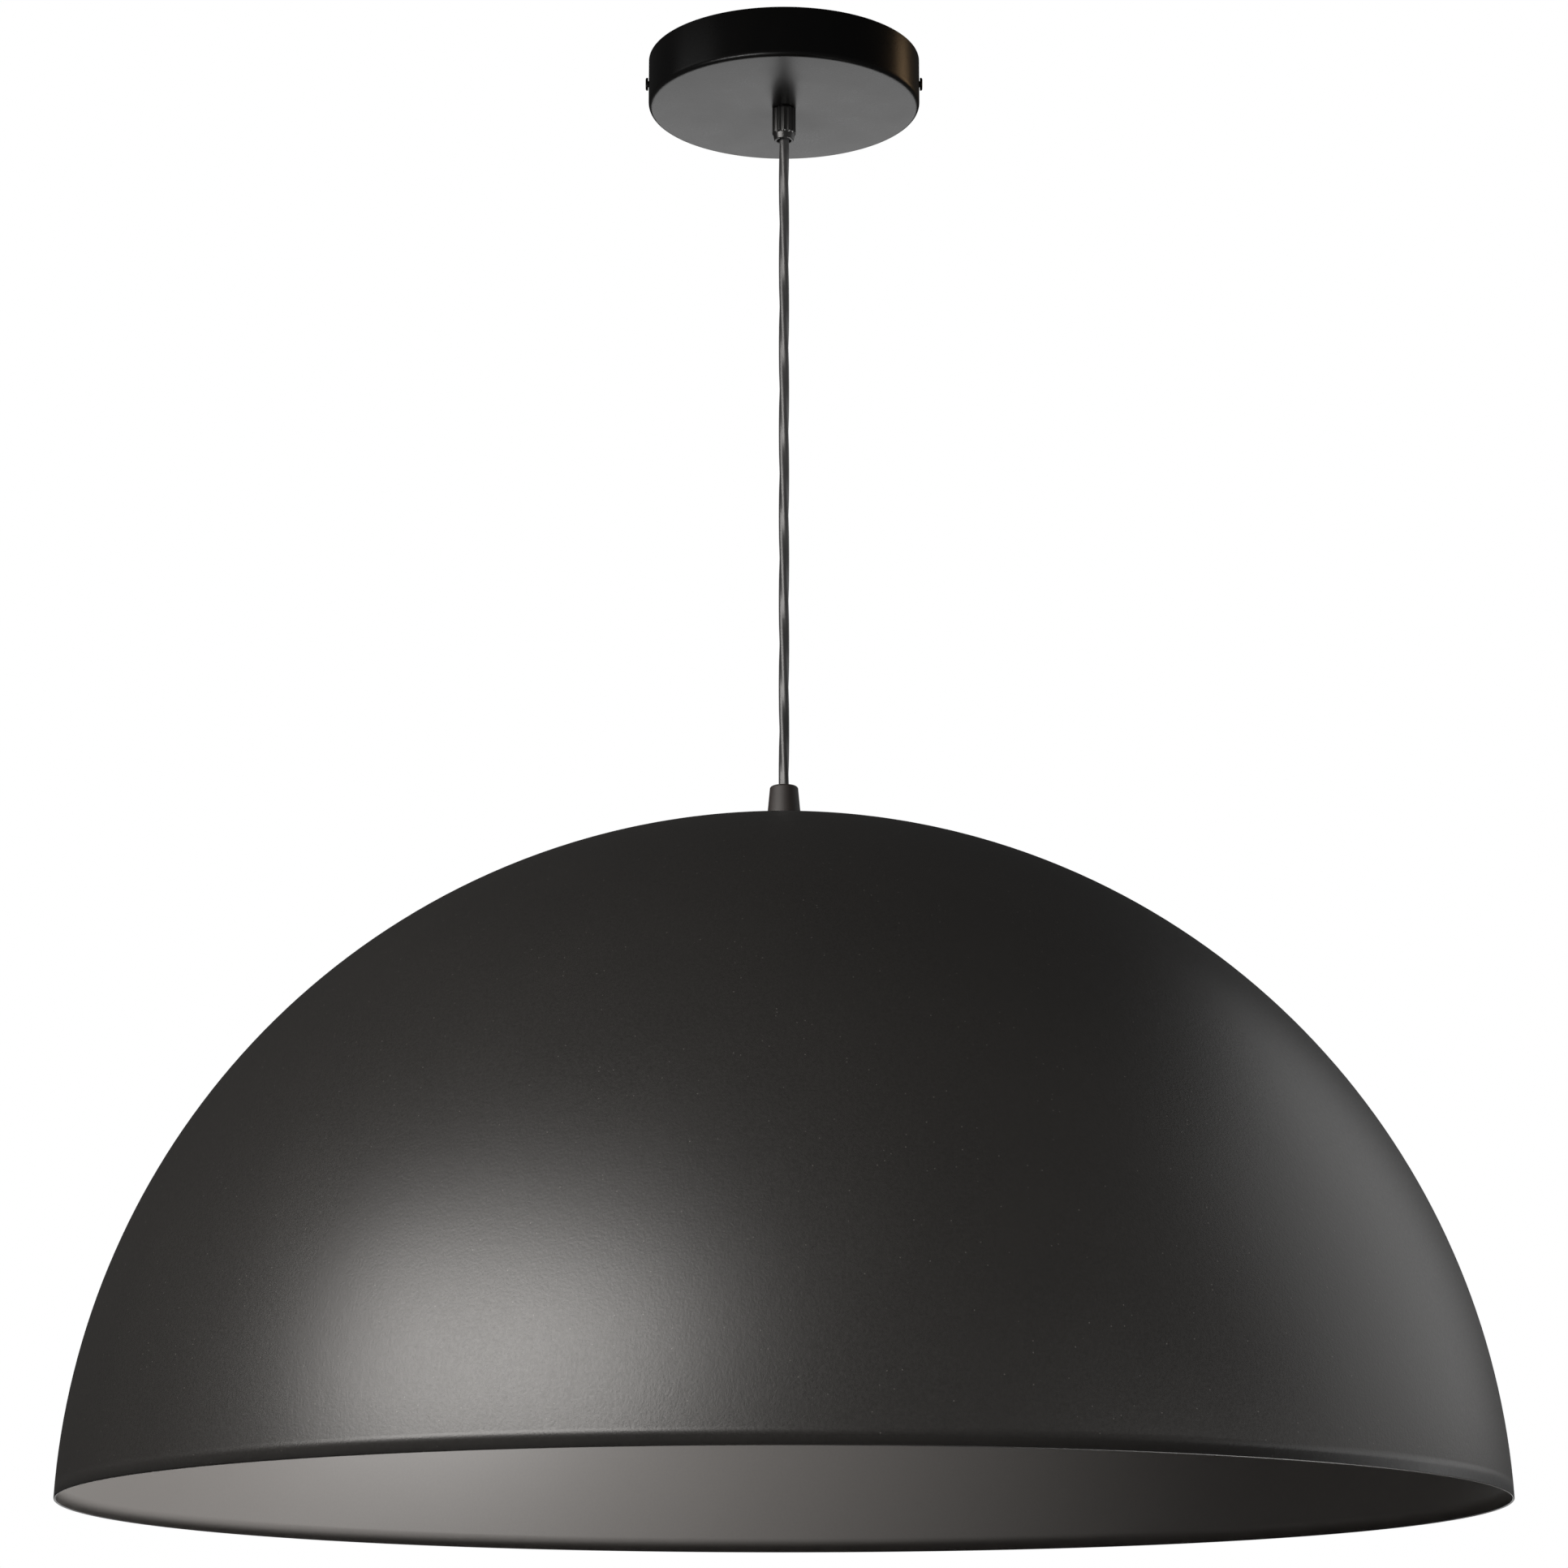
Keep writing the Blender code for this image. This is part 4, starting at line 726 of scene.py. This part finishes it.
def spun(s, rings, x, reach, level, inward):
    """A square sheet wrapped round the axis, at a distance and a level that follow its height."""
    across = s.node("ShaderNodeMath", {"operation": "ADD"}, {0: s.given["Segments"], 1: 1})[0]
    up = s.node("ShaderNodeMath", {"operation": "ADD"}, {0: rings, 1: 1})[0]
    values = {"Size X": 1.0, "Size Y": 1.0, "Vertices X": across, "Vertices Y": up}
    sheet = s.node("GeometryNodeMeshGrid", {}, values)[0]
    angle = (x + 0.5) * math.tau
    place = s.vector(reach * s.maths("COSINE", angle), reach * s.maths("SINE", angle), level)
    wrapped = s.placed(sheet, place)
    if inward:
        wrapped = s.node("GeometryNodeFlipFaces", {}, {0: wrapped})[0]
    return wrapped


def shade():
    values = {
        "Rim Radius": SHADE_HIGH.x, "Height": SHADE_HIGH.z - SHADE_LOW.z, "Wall": 0.8 * MM,
        "Hole Radius": 5.3 * MM, "Rim Level": SHADE_LOW.z + 0.0001 * MM, "Segments": 288, "Rings": 72,
        "Roll Steps": 6, "Outside": POWDER_COAT, "Inside": INNER_PAINT,
    }
    piece = shaped("spun_dome_shade", spun_dome_shape(), values)
    stand_in(piece, "shade", "shade_dome")


shade()


# --- rose, grip and cap -----------------------------------------------------------------------------

def rod(start, end, radius):
    """A plain round cutter between two points."""
    direction = Vector(end) - Vector(start)
    length = direction.length
    profile = [(0.0, 0.0), (radius, 0.0), (radius, length), (0.0, length)]
    piece = turned("cutter", 0.0, profile, STEEL, 32)
    turn = direction.to_track_quat("Z", "Y").to_matrix().to_4x4()
    piece.data.transform(Matrix.Translation(start) @ turn)
    return piece


def bored(piece, start, end, radius):
    """A round hole through the piece, from one point to another."""
    blade = rod(start, end, radius)
    modifier = piece.modifiers.new("bore", "BOOLEAN")
    modifier.object, modifier.operation, modifier.solver = blade, "DIFFERENCE", "EXACT"
    settle(piece)
    bpy.data.objects.remove(blade)


def settle(piece, sharp=40.0):
    """The piece's modifiers become part of its mesh."""
    evaluated = piece.evaluated_get(bpy.context.evaluated_depsgraph_get())
    data = bpy.data.meshes.new_from_object(evaluated)
    piece.modifiers.clear()
    finishes = list(piece.data.materials)
    piece.data = data
    data.materials.clear()
    for finish in finishes:
        data.materials.append(finish)
    data.shade_smooth()
    data.set_sharp_from_angle(angle=math.radians(sharp))


def rose():
    radius, wall, edge = ROSE_HIGH.x, 1.0 * MM, 1.4 * MM
    floor, top, hole = ROSE_LOW.z, ROSE_HIGH.z, 4.3 * MM
    profile = [
        (hole, floor, 0.25 * MM), (radius, floor, 1.9 * edge), (radius, top, 0.3 * MM),
        (radius - wall, top, 0.3 * MM), (radius - wall, floor + wall, edge),
        (hole, floor + wall, 0.2 * MM)]
    piece = turned("rose_cup", 0.0, profile, ROSE_PAINT, 224, steps=8)
    level = -11 * MM
    for side in (-1, 1):
        bored(piece, (side * 50 * MM, 0.0, level), (side * 65 * MM, 0.0, level), 1.8 * MM)
    stand_in(piece, "ceiling_rose", "rose_shell")


def grip():
    """The fluted cord grip, with a plain cone, a lip and a mouth below its flutes."""
    radius, low, top = 5.4 * MM, GRIP_LOW.z, GRIP_HIGH.z
    seat = ROSE_LOW.z - 0.3 * MM
    bore, spigot, flutes = 2.6 * MM, 4.0 * MM, 14
    foot = low + 3.4 * MM
    profile = [
        (bore, low + 2.2 * MM, 0.6 * MM), (3.3 * MM, low, 0.3 * MM), (4.3 * MM, low, 0.35 * MM),
        (4.85 * MM, foot - 0.5 * MM, 0.5 * MM), (radius, foot, 0.35 * MM), (radius, seat - 0.9 * MM),
        (radius, seat, 0.6 * MM), (spigot, seat), (spigot, top, 0.3 * MM), (bore, top, 0.2 * MM)]

    def rule(reach, height, angle):
        depth = 0.45 * MM * (0.5 + 0.5 * math.cos(flutes * angle)) ** 0.7
        share = min(1.0, max(0.0, (reach - 4.9 * MM) / (0.3 * MM)))
        return reach - depth * share

    piece = turned("cord_grip_sleeve", 0.0, profile, BLACK_PLASTIC, 14 * 14, rule)
    middle = seat - 5.8 * MM
    bored(piece, (0.0, 1.0 * MM, middle), (0.0, 8.0 * MM, middle), 1.5 * MM)
    stand_in(piece, "ceiling_rose", "cord_grip")


def cap():
    base, top = CAP_LOW.z, CAP_HIGH.z
    roof = base + 8.3 * MM
    wide, narrow = 7.8 * MM, 6.1 * MM
    profile = [
        (5.3 * MM, base, 0.2 * MM), (wide, base, 0.35 * MM), (narrow, top - 0.6 * MM, 1.9 * MM),
        (narrow - 0.9 * MM, top, 1.9 * MM), (2.6 * MM, top, 0.35 * MM), (2.6 * MM, roof, 0.2 * MM),
        (5.3 * MM, roof, 0.2 * MM)]
    piece = turned("tapered_cap", 0.0, profile, WARM_PLASTIC, 96, steps=6)
    start, end = (CAP_SCREW_WAY * reach * MM + CAP_SCREW_RISE for reach in (1.5, 9))
    bored(piece, start, end, 1.5 * MM)
    stand_in(piece, "shade", "holder_cap")


rose()
grip()
cap()


# --- screws, nuts and washers -----------------------------------------------------------------------

def screw_shape():
    """A slotted screw: a soft-edged head behind its seat, and a threaded shank along +Z."""
    inputs = {
        "Radius": "Float", "Length": "Float", "Head Radius": "Float", "Head Height": "Float",
        "Slot Width": "Float", "Slot Depth": "Float", "Pitch": "Float", "Segments": "Int",
        "Finish": "Material",
    }
    s = Shape("slotted_screw", inputs)
    given = s.given
    rows = 41
    x, y = sheet_places(s)
    inner_rows = rows - 3
    along = (y + 0.5) * ((rows - 1) / inner_rows) - 1.0 / inner_rows
    u = s.node("ShaderNodeClamp", {}, {"Value": along})[0]
    open_end = s.maths("LESS_THAN", s.maths("ABSOLUTE", y), 0.5 - 0.5 / (rows - 1))
    angle = (x + 0.5) * math.tau
    overlap = given["Head Height"] * 0.5
    level = u * (given["Length"] + overlap) - overlap
    thread = s.maths("PINGPONG", level / given["Pitch"] - angle / math.tau, 0.5) * given["Pitch"] * 0.5
    tip = s.smooth_step(given["Length"] - level, 0.35 * MM, 0.0) * 0.35 * MM
    shank = spun(s, rows - 1, x, (given["Radius"] - thread - tip) * open_end, level, False)
    height = given["Head Height"]
    dome = 1.0 - s.smooth_step(u, 0.45, 0.0) ** 2.0 * 0.16
    head = spun(s, rows - 1, x, given["Head Radius"] * dome * open_end, (u - 1.0) * height, False)
    merge = {"Distance": 0.002 * MM}
    shank = s.node("GeometryNodeMergeByDistance", {}, {"Geometry": shank, **merge})[0]
    head = s.node("GeometryNodeMergeByDistance", {}, {"Geometry": head, **merge})[0]
    size = s.vector(given["Head Radius"] * 3.0, given["Slot Width"], given["Slot Depth"] * 2.0)
    blade = s.node("GeometryNodeMeshCube", {}, {"Size": size})[0]
    place = s.vector(0.0, 0.0, 0.0 - height)
    blade = s.node("GeometryNodeTransform", {}, {"Geometry": blade, "Translation": place})[0]
    union = s.tree.nodes.new("GeometryNodeMeshBoolean")
    union.operation, union.solver = "UNION", "EXACT"
    for part in (shank, head):
        s.tree.links.new(part.socket, find(union.inputs, "Mesh 2"))
    cut = {"operation": "DIFFERENCE", "solver": "EXACT"}
    solids = {"Mesh 1": Value(s, union.outputs[0]), "Mesh 2": blade}
    slotted = s.node("GeometryNodeMeshBoolean", cut, solids)[0]
    s.finished(slotted, (given["Finish"], None))
    return s


SCREW = screw_shape()
TURNS = {
    "Z": Matrix.Identity(4),
    "-Z": Matrix.Rotation(math.pi, 4, "X"),
    "X": Matrix.Rotation(math.pi / 2, 4, "Y"),
    "-X": Matrix.Rotation(-math.pi / 2, 4, "Y"),
    "-Y": Matrix.Rotation(math.pi / 2, 4, "X"),
}


def screw(node, body, seat, turn, radius, length, finish, head=None, slot=(0.7, 0.6)):
    """The screw that stands for a CAD node. With no head it is a grub screw, slotted at its seat."""
    seat = Vector(seat) * MM
    if head is None:
        head, step = (radius * 0.97, 0.3), 0.3
        length -= step
        seat += (turn @ Vector((0.0, 0.0, 1.0))) * step * MM
    values = {
        "Radius": radius * MM, "Length": length * MM, "Head Radius": head[0] * MM,
        "Head Height": head[1] * MM, "Slot Width": slot[0] * MM, "Slot Depth": slot[1] * MM,
        "Pitch": 0.5 * MM, "Segments": 40, "Finish": finish,
    }
    piece = shaped("slotted_" + node, SCREW, values)
    piece.data.transform(Matrix.Translation(seat) @ turn)
    piece.data.shade_smooth()
    piece.data.set_sharp_from_angle(angle=math.radians(32))
    stand_in(piece, body, node)


def screws():
    for number, pole in enumerate(("live", "neutral", "earth")):
        for end, y in (("mains", 4.4), ("lamp", -4.4)):
            place = (15.0 + 8.0 * number, y, -12.3)
            screw("clamp_screw_{}_{}".format(pole, end), "ceiling_rose", place, TURNS["Z"], 1.3, 3.9, ZINC)
    screw("bond_screw", "ceiling_rose", (-20, 0, -2.9), TURNS["Z"], 1.5, 2.6, ZINC, (3.0, 1.8), (0.7, 0.9))
    place = (37.75, 0, -5.1)
    screw("block_fixing_screw", "ceiling_rose", place, TURNS["Z"], 1.25, 4.8, ZINC, (2.4, 1.6), (0.7, 0.8))
    for node, x, turn in (("rose_screw_left", -61.3, "X"), ("rose_screw_right", 61.3, "-X")):
        screw(node, "ceiling_rose", (x, 0, -11), TURNS[turn], 1.5, 9.0, ROSE_PAINT, (2.9, 1.1), (0.7, 0.55))
    for pole, side in (("live", -1), ("neutral", 1)):
        screw("holder_screw_" + pole, "shade", (9.6 * side, 0, -369.0), TURNS["-Z"], 1.1, 2.0, ZINC)
    middle = ROSE_LOW.z / MM - 6.1
    screw("grip_screw", "ceiling_rose", (0, 4.95, middle), TURNS["-Y"], 1.2, 2.35, NYLON, None, (0.5, 0.4))
    inward = Matrix.Rotation(math.radians(CAP_SCREW_TURN), 4, "Z") @ TURNS["-X"]
    place = (CAP_SCREW_WAY * 5.4 * MM + CAP_SCREW_RISE) / MM
    screw("cap_screw", "shade", place, inward, 1.2, 2.8, NYLON, None, (0.5, 0.4))


def hexagon(bore):
    """The radius rule of a nut: six flats outside, and a round bore."""
    def rule(radius, height, angle):
        if radius <= bore * 1.001:
            return radius
        return radius / math.cos((angle + math.pi / 6) % (math.pi / 3) - math.pi / 6)
    return rule


def hex_nut(name, node, body, bore, flat, height):
    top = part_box(node)[1].z
    low, soft = top - height, 0.3 * MM
    profile = [
        (bore, low + 0.4 * MM), (bore + 0.3 * MM, low), (flat - 0.2 * MM, low, soft),
        (flat, low + soft, soft), (flat, top - soft, soft), (flat - 0.2 * MM, top, soft),
        (bore + 0.3 * MM, top), (bore, top - 0.4 * MM)]
    stand_in(turned(name, 0.0, profile, ZINC, 96, hexagon(bore + 0.3 * MM), 3), body, node)


def flat_washer(name, node, body, bore, radius):
    low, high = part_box(node)
    profile = [
        (bore, low.z, 0.15 * MM), (radius, low.z, 0.3 * MM), (radius, high.z, 0.12 * MM),
        (bore, high.z, 0.25 * MM)]
    stand_in(turned(name, 0.0, profile, ZINC, 96, steps=3), body, node)


def nuts_and_washers():
    spigot_bore, rod_bore = 4.3 * MM, 5.3 * MM
    hex_nut("grip_hexagon_nut", "grip_nut", "ceiling_rose", spigot_bore, 6.5 * MM, 4 * MM)
    hex_nut("rod_hexagon_nut", "rod_nut", "shade", rod_bore, 6.5 * MM, 3 * MM)
    flat_washer("grip_flat_washer", "grip_washer", "ceiling_rose", spigot_bore, 8.0 * MM)
    flat_washer("shade_flat_washer", "shade_washer", "shade", rod_bore, 11.0 * MM)


screws()
nuts_and_washers()


# --- plates and blocks that keep the CAD's outline ----------------------------------------------------

def eased(name, node, body, width, finish):
    """The CAD node with its edges rounded over, which stands for that node."""
    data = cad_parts[node].data.copy()
    piece = link(name, data)
    piece.matrix_world = Matrix.Identity(4)
    data.materials.clear()
    data.materials.append(finish)
    weld = piece.modifiers.new("weld", "WELD")
    weld.merge_threshold = 0.005 * MM
    soften = piece.modifiers.new("edges", "BEVEL")
    soften.width, soften.segments = width, 3
    soften.limit_method, soften.angle_limit = "ANGLE", math.radians(40)
    settle(piece, 50.0)
    stand_in(piece, body, node)


eased("ceiling_strap", "ceiling_bracket", "ceiling_rose", 0.25 * MM, STRAP_ZINC)
eased("three_way_block", "terminal_block", "ceiling_rose", 0.45 * MM, WHITE_PLASTIC)
eased("bond_ring_tag", "bond_tag", "ceiling_rose", 0.12 * MM, NICKEL)
eased("rod_ring_tag", "rod_tag", "shade", 0.12 * MM, NICKEL)
eased("spring_contact", "centre_contact", "shade", 0.12 * MM, BRASS)
for pole in ("live", "neutral", "earth"):
    eased("brass_sleeve_" + pole, "terminal_sleeve_" + pole, "ceiling_rose", 0.15 * MM, BRASS)
for pole in ("live", "neutral"):
    eased("brass_terminal_" + pole, "holder_terminal_" + pole, "shade", 0.3 * MM, BRASS)


# --- wiring -----------------------------------------------------------------------------------------

def leads():
    rose_routes = {
        "rose_lead_live": [
            (1.08, 0.62, -10.2), (1.38, 0.62, -8.8), (5, -4, -7.9), (9.5, -12.5, -7.3), (14, -13.5, -7.3),
            (15, -10, -7.3), (15, -7, -7.3), (15, -1, -7.3)],
        "rose_lead_neutral": [
            (0, -1.25, -10.2), (0, -1.65, -8.8), (3, -10, -7.9), (13, -17.5, -7.3), (21.5, -17, -7.3),
            (23, -11, -7.3), (23, -7, -7.3), (23, -1, -7.3)],
        "rose_lead_earth": [
            (-1.08, 0.62, -10.2), (-1.48, 0.62, -8.8), (-6, -6, -7.9), (-1, -17, -7.3), (12, -22.5, -7.3),
            (27, -20.5, -7.3), (31, -11, -7.3), (31, -7, -7.3), (31, -1, -7.3)],
        "bond_lead": [
            (-20, 6, -3.7), (-20, 9.5, -3.7), (-14, 16, -6.3), (0, 19.5, -7.3), (18, 19.5, -7.3),
            (28, 16.5, -7.3), (31, 11, -7.3), (31, 7, -7.3), (31, 1, -7.3)],
    }
    holder_routes = {
        "holder_lead_live": [
            (-1.25, 0, -369.6), (-1.55, 0, -370.3), (-5.1, 0, -371.8), (-6.7, 0, -372.1), (-8.3, 0, -372.1)],
        "holder_lead_neutral": [
            (1.25, 0, -369.6), (1.55, 0, -370.3), (5.1, 0, -371.8), (6.7, 0, -372.1), (8.3, 0, -372.1)],
        "holder_lead_earth": [
            (0, 1.25, -369.6), (0, 1.55, -370.5), (0, 5, -372), (0, 9, -370.2), (0, 10.4, -367.3),
            (0, 9.4, -366.1)],
    }
    for body, routes in (("ceiling_rose", rose_routes), ("shade", holder_routes)):
        for node, places in routes.items():
            route = smooth_route([Vector(p) * MM for p in places], 8)
            finish = CORE_FINISHES.get(node.split("_")[-1], CORE_FINISHES["earth"])
            stand_in(tube("core_of_" + node, route, CORE_RADIUS, finish, 20), body, node)
    places = [
        (-9, 0, -440.5), (-5, 4, -441.5), (0, 6, -440.5), (5, 4, -441.5), (9, 0, -440.5), (5, -4, -441.5),
        (0, -6, -440.5), (-5, -4, -441.5)]
    route = smooth_route([Vector(p) * MM for p in places], 24)

    def coiled(angle, travelled):
        return 0.84 + 0.16 * math.cos(math.tau * travelled / (0.45 * MM))

    stand_in(tube("coiled_filament", route, 0.45 * MM, TUNGSTEN, 12, coiled), "lamp", "lamp_filament")


leads()


# --- lamp holder ------------------------------------------------------------------------------------

def holder_shells():
    radius, wall, neck = HOLDER_RADIUS, 1.6 * MM, 8.6 * MM
    top, rim, bore = CROWN_HIGH.z, CROWN_LOW.z, 5.3 * MM
    under = top - 5.3 * MM
    profile = [
        (bore, under, 0.3 * MM), (radius - wall, under, 5.4 * MM), (radius - wall, rim, 0.3 * MM),
        (radius, rim, 0.35 * MM), (radius, under + wall, 7.0 * MM), (neck, under + wall, 0.8 * MM),
        (neck, top, 0.7 * MM), (bore, top, 0.3 * MM)]
    piece = turned("holder_upper_shell", 0.0, profile, BLACK_PLASTIC, 160, steps=12)
    stand_in(piece, "shade", "holder_crown")

    neck_radius = radius - wall - 0.3 * MM
    inner, mouth = neck_radius - wall, neck_radius - wall - 0.9 * MM
    top, rim = SKIRT_HIGH.z - 7.0 * MM, SKIRT_LOW.z
    band_top, band_low, band = top - 9.0 * MM, top - 21.0 * MM, 20.0 * MM
    profile = [
        (inner, rim + wall + 0.9 * MM, 0.5 * MM), (mouth, rim + wall, 0.3 * MM), (mouth, rim, 0.4 * MM),
        (radius, rim, 0.9 * MM), (radius, band_low, 0.2 * MM), (band, band_low + 0.5 * MM, 0.4 * MM),
        (band, band_top - 0.5 * MM, 0.4 * MM), (radius, band_top, 0.2 * MM), (radius, top, 0.4 * MM),
        (neck_radius, top), (neck_radius, top + 7.0 * MM, 0.4 * MM), (inner, top + 7.0 * MM, 0.3 * MM)]

    def ribs(reach, height, angle):
        share = min(1.0, max(0.0, (reach - radius) / (band - radius)))
        return reach - share * 0.35 * MM * abs(math.sin(24 * angle))

    piece = turned("holder_lower_shell", 0.0, profile, BLACK_PLASTIC, 48 * 8, ribs, 5)
    stand_in(piece, "shade", "holder_skirt")


def holder_insides():
    radius = HOLDER_RADIUS - 3.8 * MM
    low, high = INSERT_LOW.z, INSERT_HIGH.z
    profile = [
        (0.0, low), (radius, low, 0.9 * MM), (radius, high, 0.9 * MM), (0.0, high)]
    stand_in(turned("ceramic_disc", 0.0, profile, CERAMIC, 128), "shade", "holder_insert")
    low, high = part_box("hollow_rod")
    outer, inner = 5.0 * MM, 3.3 * MM
    profile = [
        (inner, low.z + 0.4 * MM), (inner + 0.4 * MM, low.z), (outer - 0.35 * MM, low.z),
        (outer, low.z + 0.4 * MM), (outer, high.z - 0.4 * MM), (outer - 0.35 * MM, high.z),
        (inner + 0.4 * MM, high.z), (inner, high.z - 0.4 * MM)]
    stand_in(turned("threaded_hollow_rod", 0.0, profile, ROD_ZINC, 64), "shade", "hollow_rod")


def threaded_tube(name, node, body, inner, wall, depth, finish):
    """A sheet tube with one thread rolled into it, right-handed, which runs out at both ends."""
    low, high = (corner.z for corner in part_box(node))
    rows = 110
    levels = [high + (low - high) * row / rows for row in range(rows + 1)]
    profile = [(inner, level) for level in levels] + [(inner + wall, level) for level in levels[::-1]]

    def rule(reach, height, angle):
        near = min(height - low, high - height) / (0.35 * THREAD_PITCH)
        share = min(1.0, max(0.0, near))
        wave = 0.5 - 0.5 * math.cos(math.tau * height / THREAD_PITCH - angle)
        return reach + depth * (share * wave + (1.0 - share) * 0.5)

    stand_in(turned(name, 0.0, profile, finish, 96, rule), body, node)


holder_shells()
holder_insides()
threaded_tube("rolled_thread_shell", "threaded_shell", "shade", 13.6 * MM, 0.5 * MM, 0.7 * MM, NICKEL)
threaded_tube("rolled_lamp_cap", "lamp_cap", "lamp", 11.9 * MM, 0.5 * MM, 0.7 * MM, NICKEL)


# --- lamp -------------------------------------------------------------------------------------------

def lamp_glass():
    top, low = GLASS_HIGH.z, GLASS_LOW.z
    ball, neck, wall, steps = 30.0 * MM, 11.1 * MM, 0.9 * MM, 28
    middle = low + ball
    straight = 16.65 * MM

    def line(inset):
        points = [(neck - inset, top), (neck - inset, top - straight)]
        for step in range(1, steps):
            t = step / steps
            swell = (ball - neck) * t * t * (3 - 2 * t)
            points.append((neck - inset + swell, top - straight - (top - straight - middle) * t))
        for step in range(steps):
            angle = math.pi / 2 * step / steps
            points.append(((ball - inset) * math.cos(angle), middle - (ball - inset) * math.sin(angle)))
        return points + [(0.0, low + inset)]

    profile = line(0.0)[::-1] + line(wall)
    stand_in(turned("opal_envelope", 0.0, profile, OPAL, 128), "lamp", "lamp_glass")


def lamp_small_parts():
    low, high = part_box("lamp_tip_contact")
    profile = [
        (0.0, low.z), (4.8 * MM, low.z, 0.15 * MM), (4.8 * MM, low.z + 0.65 * MM, 0.5 * MM),
        (3.4 * MM, high.z - 0.2 * MM, 1.0 * MM), (0.0, high.z)]
    stand_in(turned("tip_of_lamp", 0.0, profile, NICKEL, 64), "lamp_tip", "lamp_tip_contact")
    low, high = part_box("lamp_insulator")
    profile = [(0.0, low.z), (11.6 * MM, low.z, 0.4 * MM), (5.4 * MM, high.z, 0.5 * MM), (0.0, high.z)]
    stand_in(turned("glass_insulator", 0.0, profile, BLACK_GLASS, 96), "lamp", "lamp_insulator")
    low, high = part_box("lamp_stem")
    flare, stem = high.y, 2.6 * MM
    profile = [
        (0.0, low.z), (stem, low.z, 0.8 * MM), (stem, high.z - 9.0 * MM, 4.0 * MM),
        (flare, high.z - 1.0 * MM, 0.5 * MM), (flare, high.z, 0.3 * MM), (0.0, high.z)]
    stand_in(turned("stem_of_lamp", 0.0, profile, STEM_GLASS, 64, steps=8), "lamp", "lamp_stem")


lamp_glass()
lamp_small_parts()


# --- light ------------------------------------------------------------------------------------------

def lights():
    key = softbox("key_softbox", -43, 19, 2.6, 2.3, 1.35, 122.0, (1.0, 0.97, 0.94))
    low_right = softbox("low_right_softbox", 75, -31, 2.6, 2.3, 1.2, 120.0, (1.0, 0.985, 0.97))
    softbox("low_back_softbox", 180, -12, 2.6, 1.8, 1.6, 10.8)
    right_back = softbox("right_back_softbox", 112, 24, 2.6, 2.4, 1.7, 12.5)
    glow = softbox("warm_glow", 118, 24, 2.6, 0.5, 1.2, 3.6, (1.0, 0.66, 0.36))
    fill = softbox("rose_fill", -78, 24, 2.6, 1.6, 1.0, 1.6)
    edge = softbox("edge_light", -40, -26, 2.6, 1.7, 0.6, 20.0)
    for light in (key, low_right, right_back):
        only_on(light, False)
    for light in (glow, fill, edge):
        only_on(light, True)


def only_on(light, lit):
    """The light reaches nothing but the rose, or everything but the rose."""
    group = bpy.data.collections.new(light.name + "_reach")
    for name in ("rose_cup", "slotted_rose_screw_left", "slotted_rose_screw_right"):
        group.objects.link(bpy.data.objects[name])
    for item in group.collection_objects:
        item.light_linking.link_state = "INCLUDE" if lit else "EXCLUDE"
    light.light_linking.receiver_collection = group


def surroundings():
    """A white backdrop for the camera, and a dim room for everything else."""
    world = bpy.data.worlds.new("studio")
    bpy.context.scene.world = world
    world.use_nodes = True
    tree = Tree(world.node_tree)
    direction = tree.node("ShaderNodeTexCoord")["Generated"]
    height = tree.node("ShaderNodeSeparateXYZ", {}, {0: direction})[2]
    below = tree.smooth_step(height, 0.02, -0.12)
    colour = tree.mix(below, grey(0.030), grey(0.05))
    seen = tree.node("ShaderNodeLightPath")["Is Camera Ray"]
    colour = tree.mix(seen, colour, grey(1.0))
    background = world.node_tree.nodes["Background"]
    tree.put(background.inputs["Color"], colour)


def floor():
    size, level = 12.0, -4.5
    corners = [(-size, -size, level), (size, -size, level), (size, size, level), (-size, size, level)]
    constants = {"Roughness": 0.7, "Emission Color": grey(1.0), "Emission Strength": 0.84}
    f = Finish("pale_floor", constants)
    f.feed("Base Color", f.mix(f.noise(0.8, 2.0), grey(0.80), grey(0.84)))
    piece = mesh_piece("studio_floor", corners, [(0, 1, 2, 3)], f.material)
    piece.visible_diffuse = piece.visible_glossy = piece.visible_shadow = False


lights()
surroundings()
floor()
bpy.context.scene.view_settings.view_transform = "Standard"
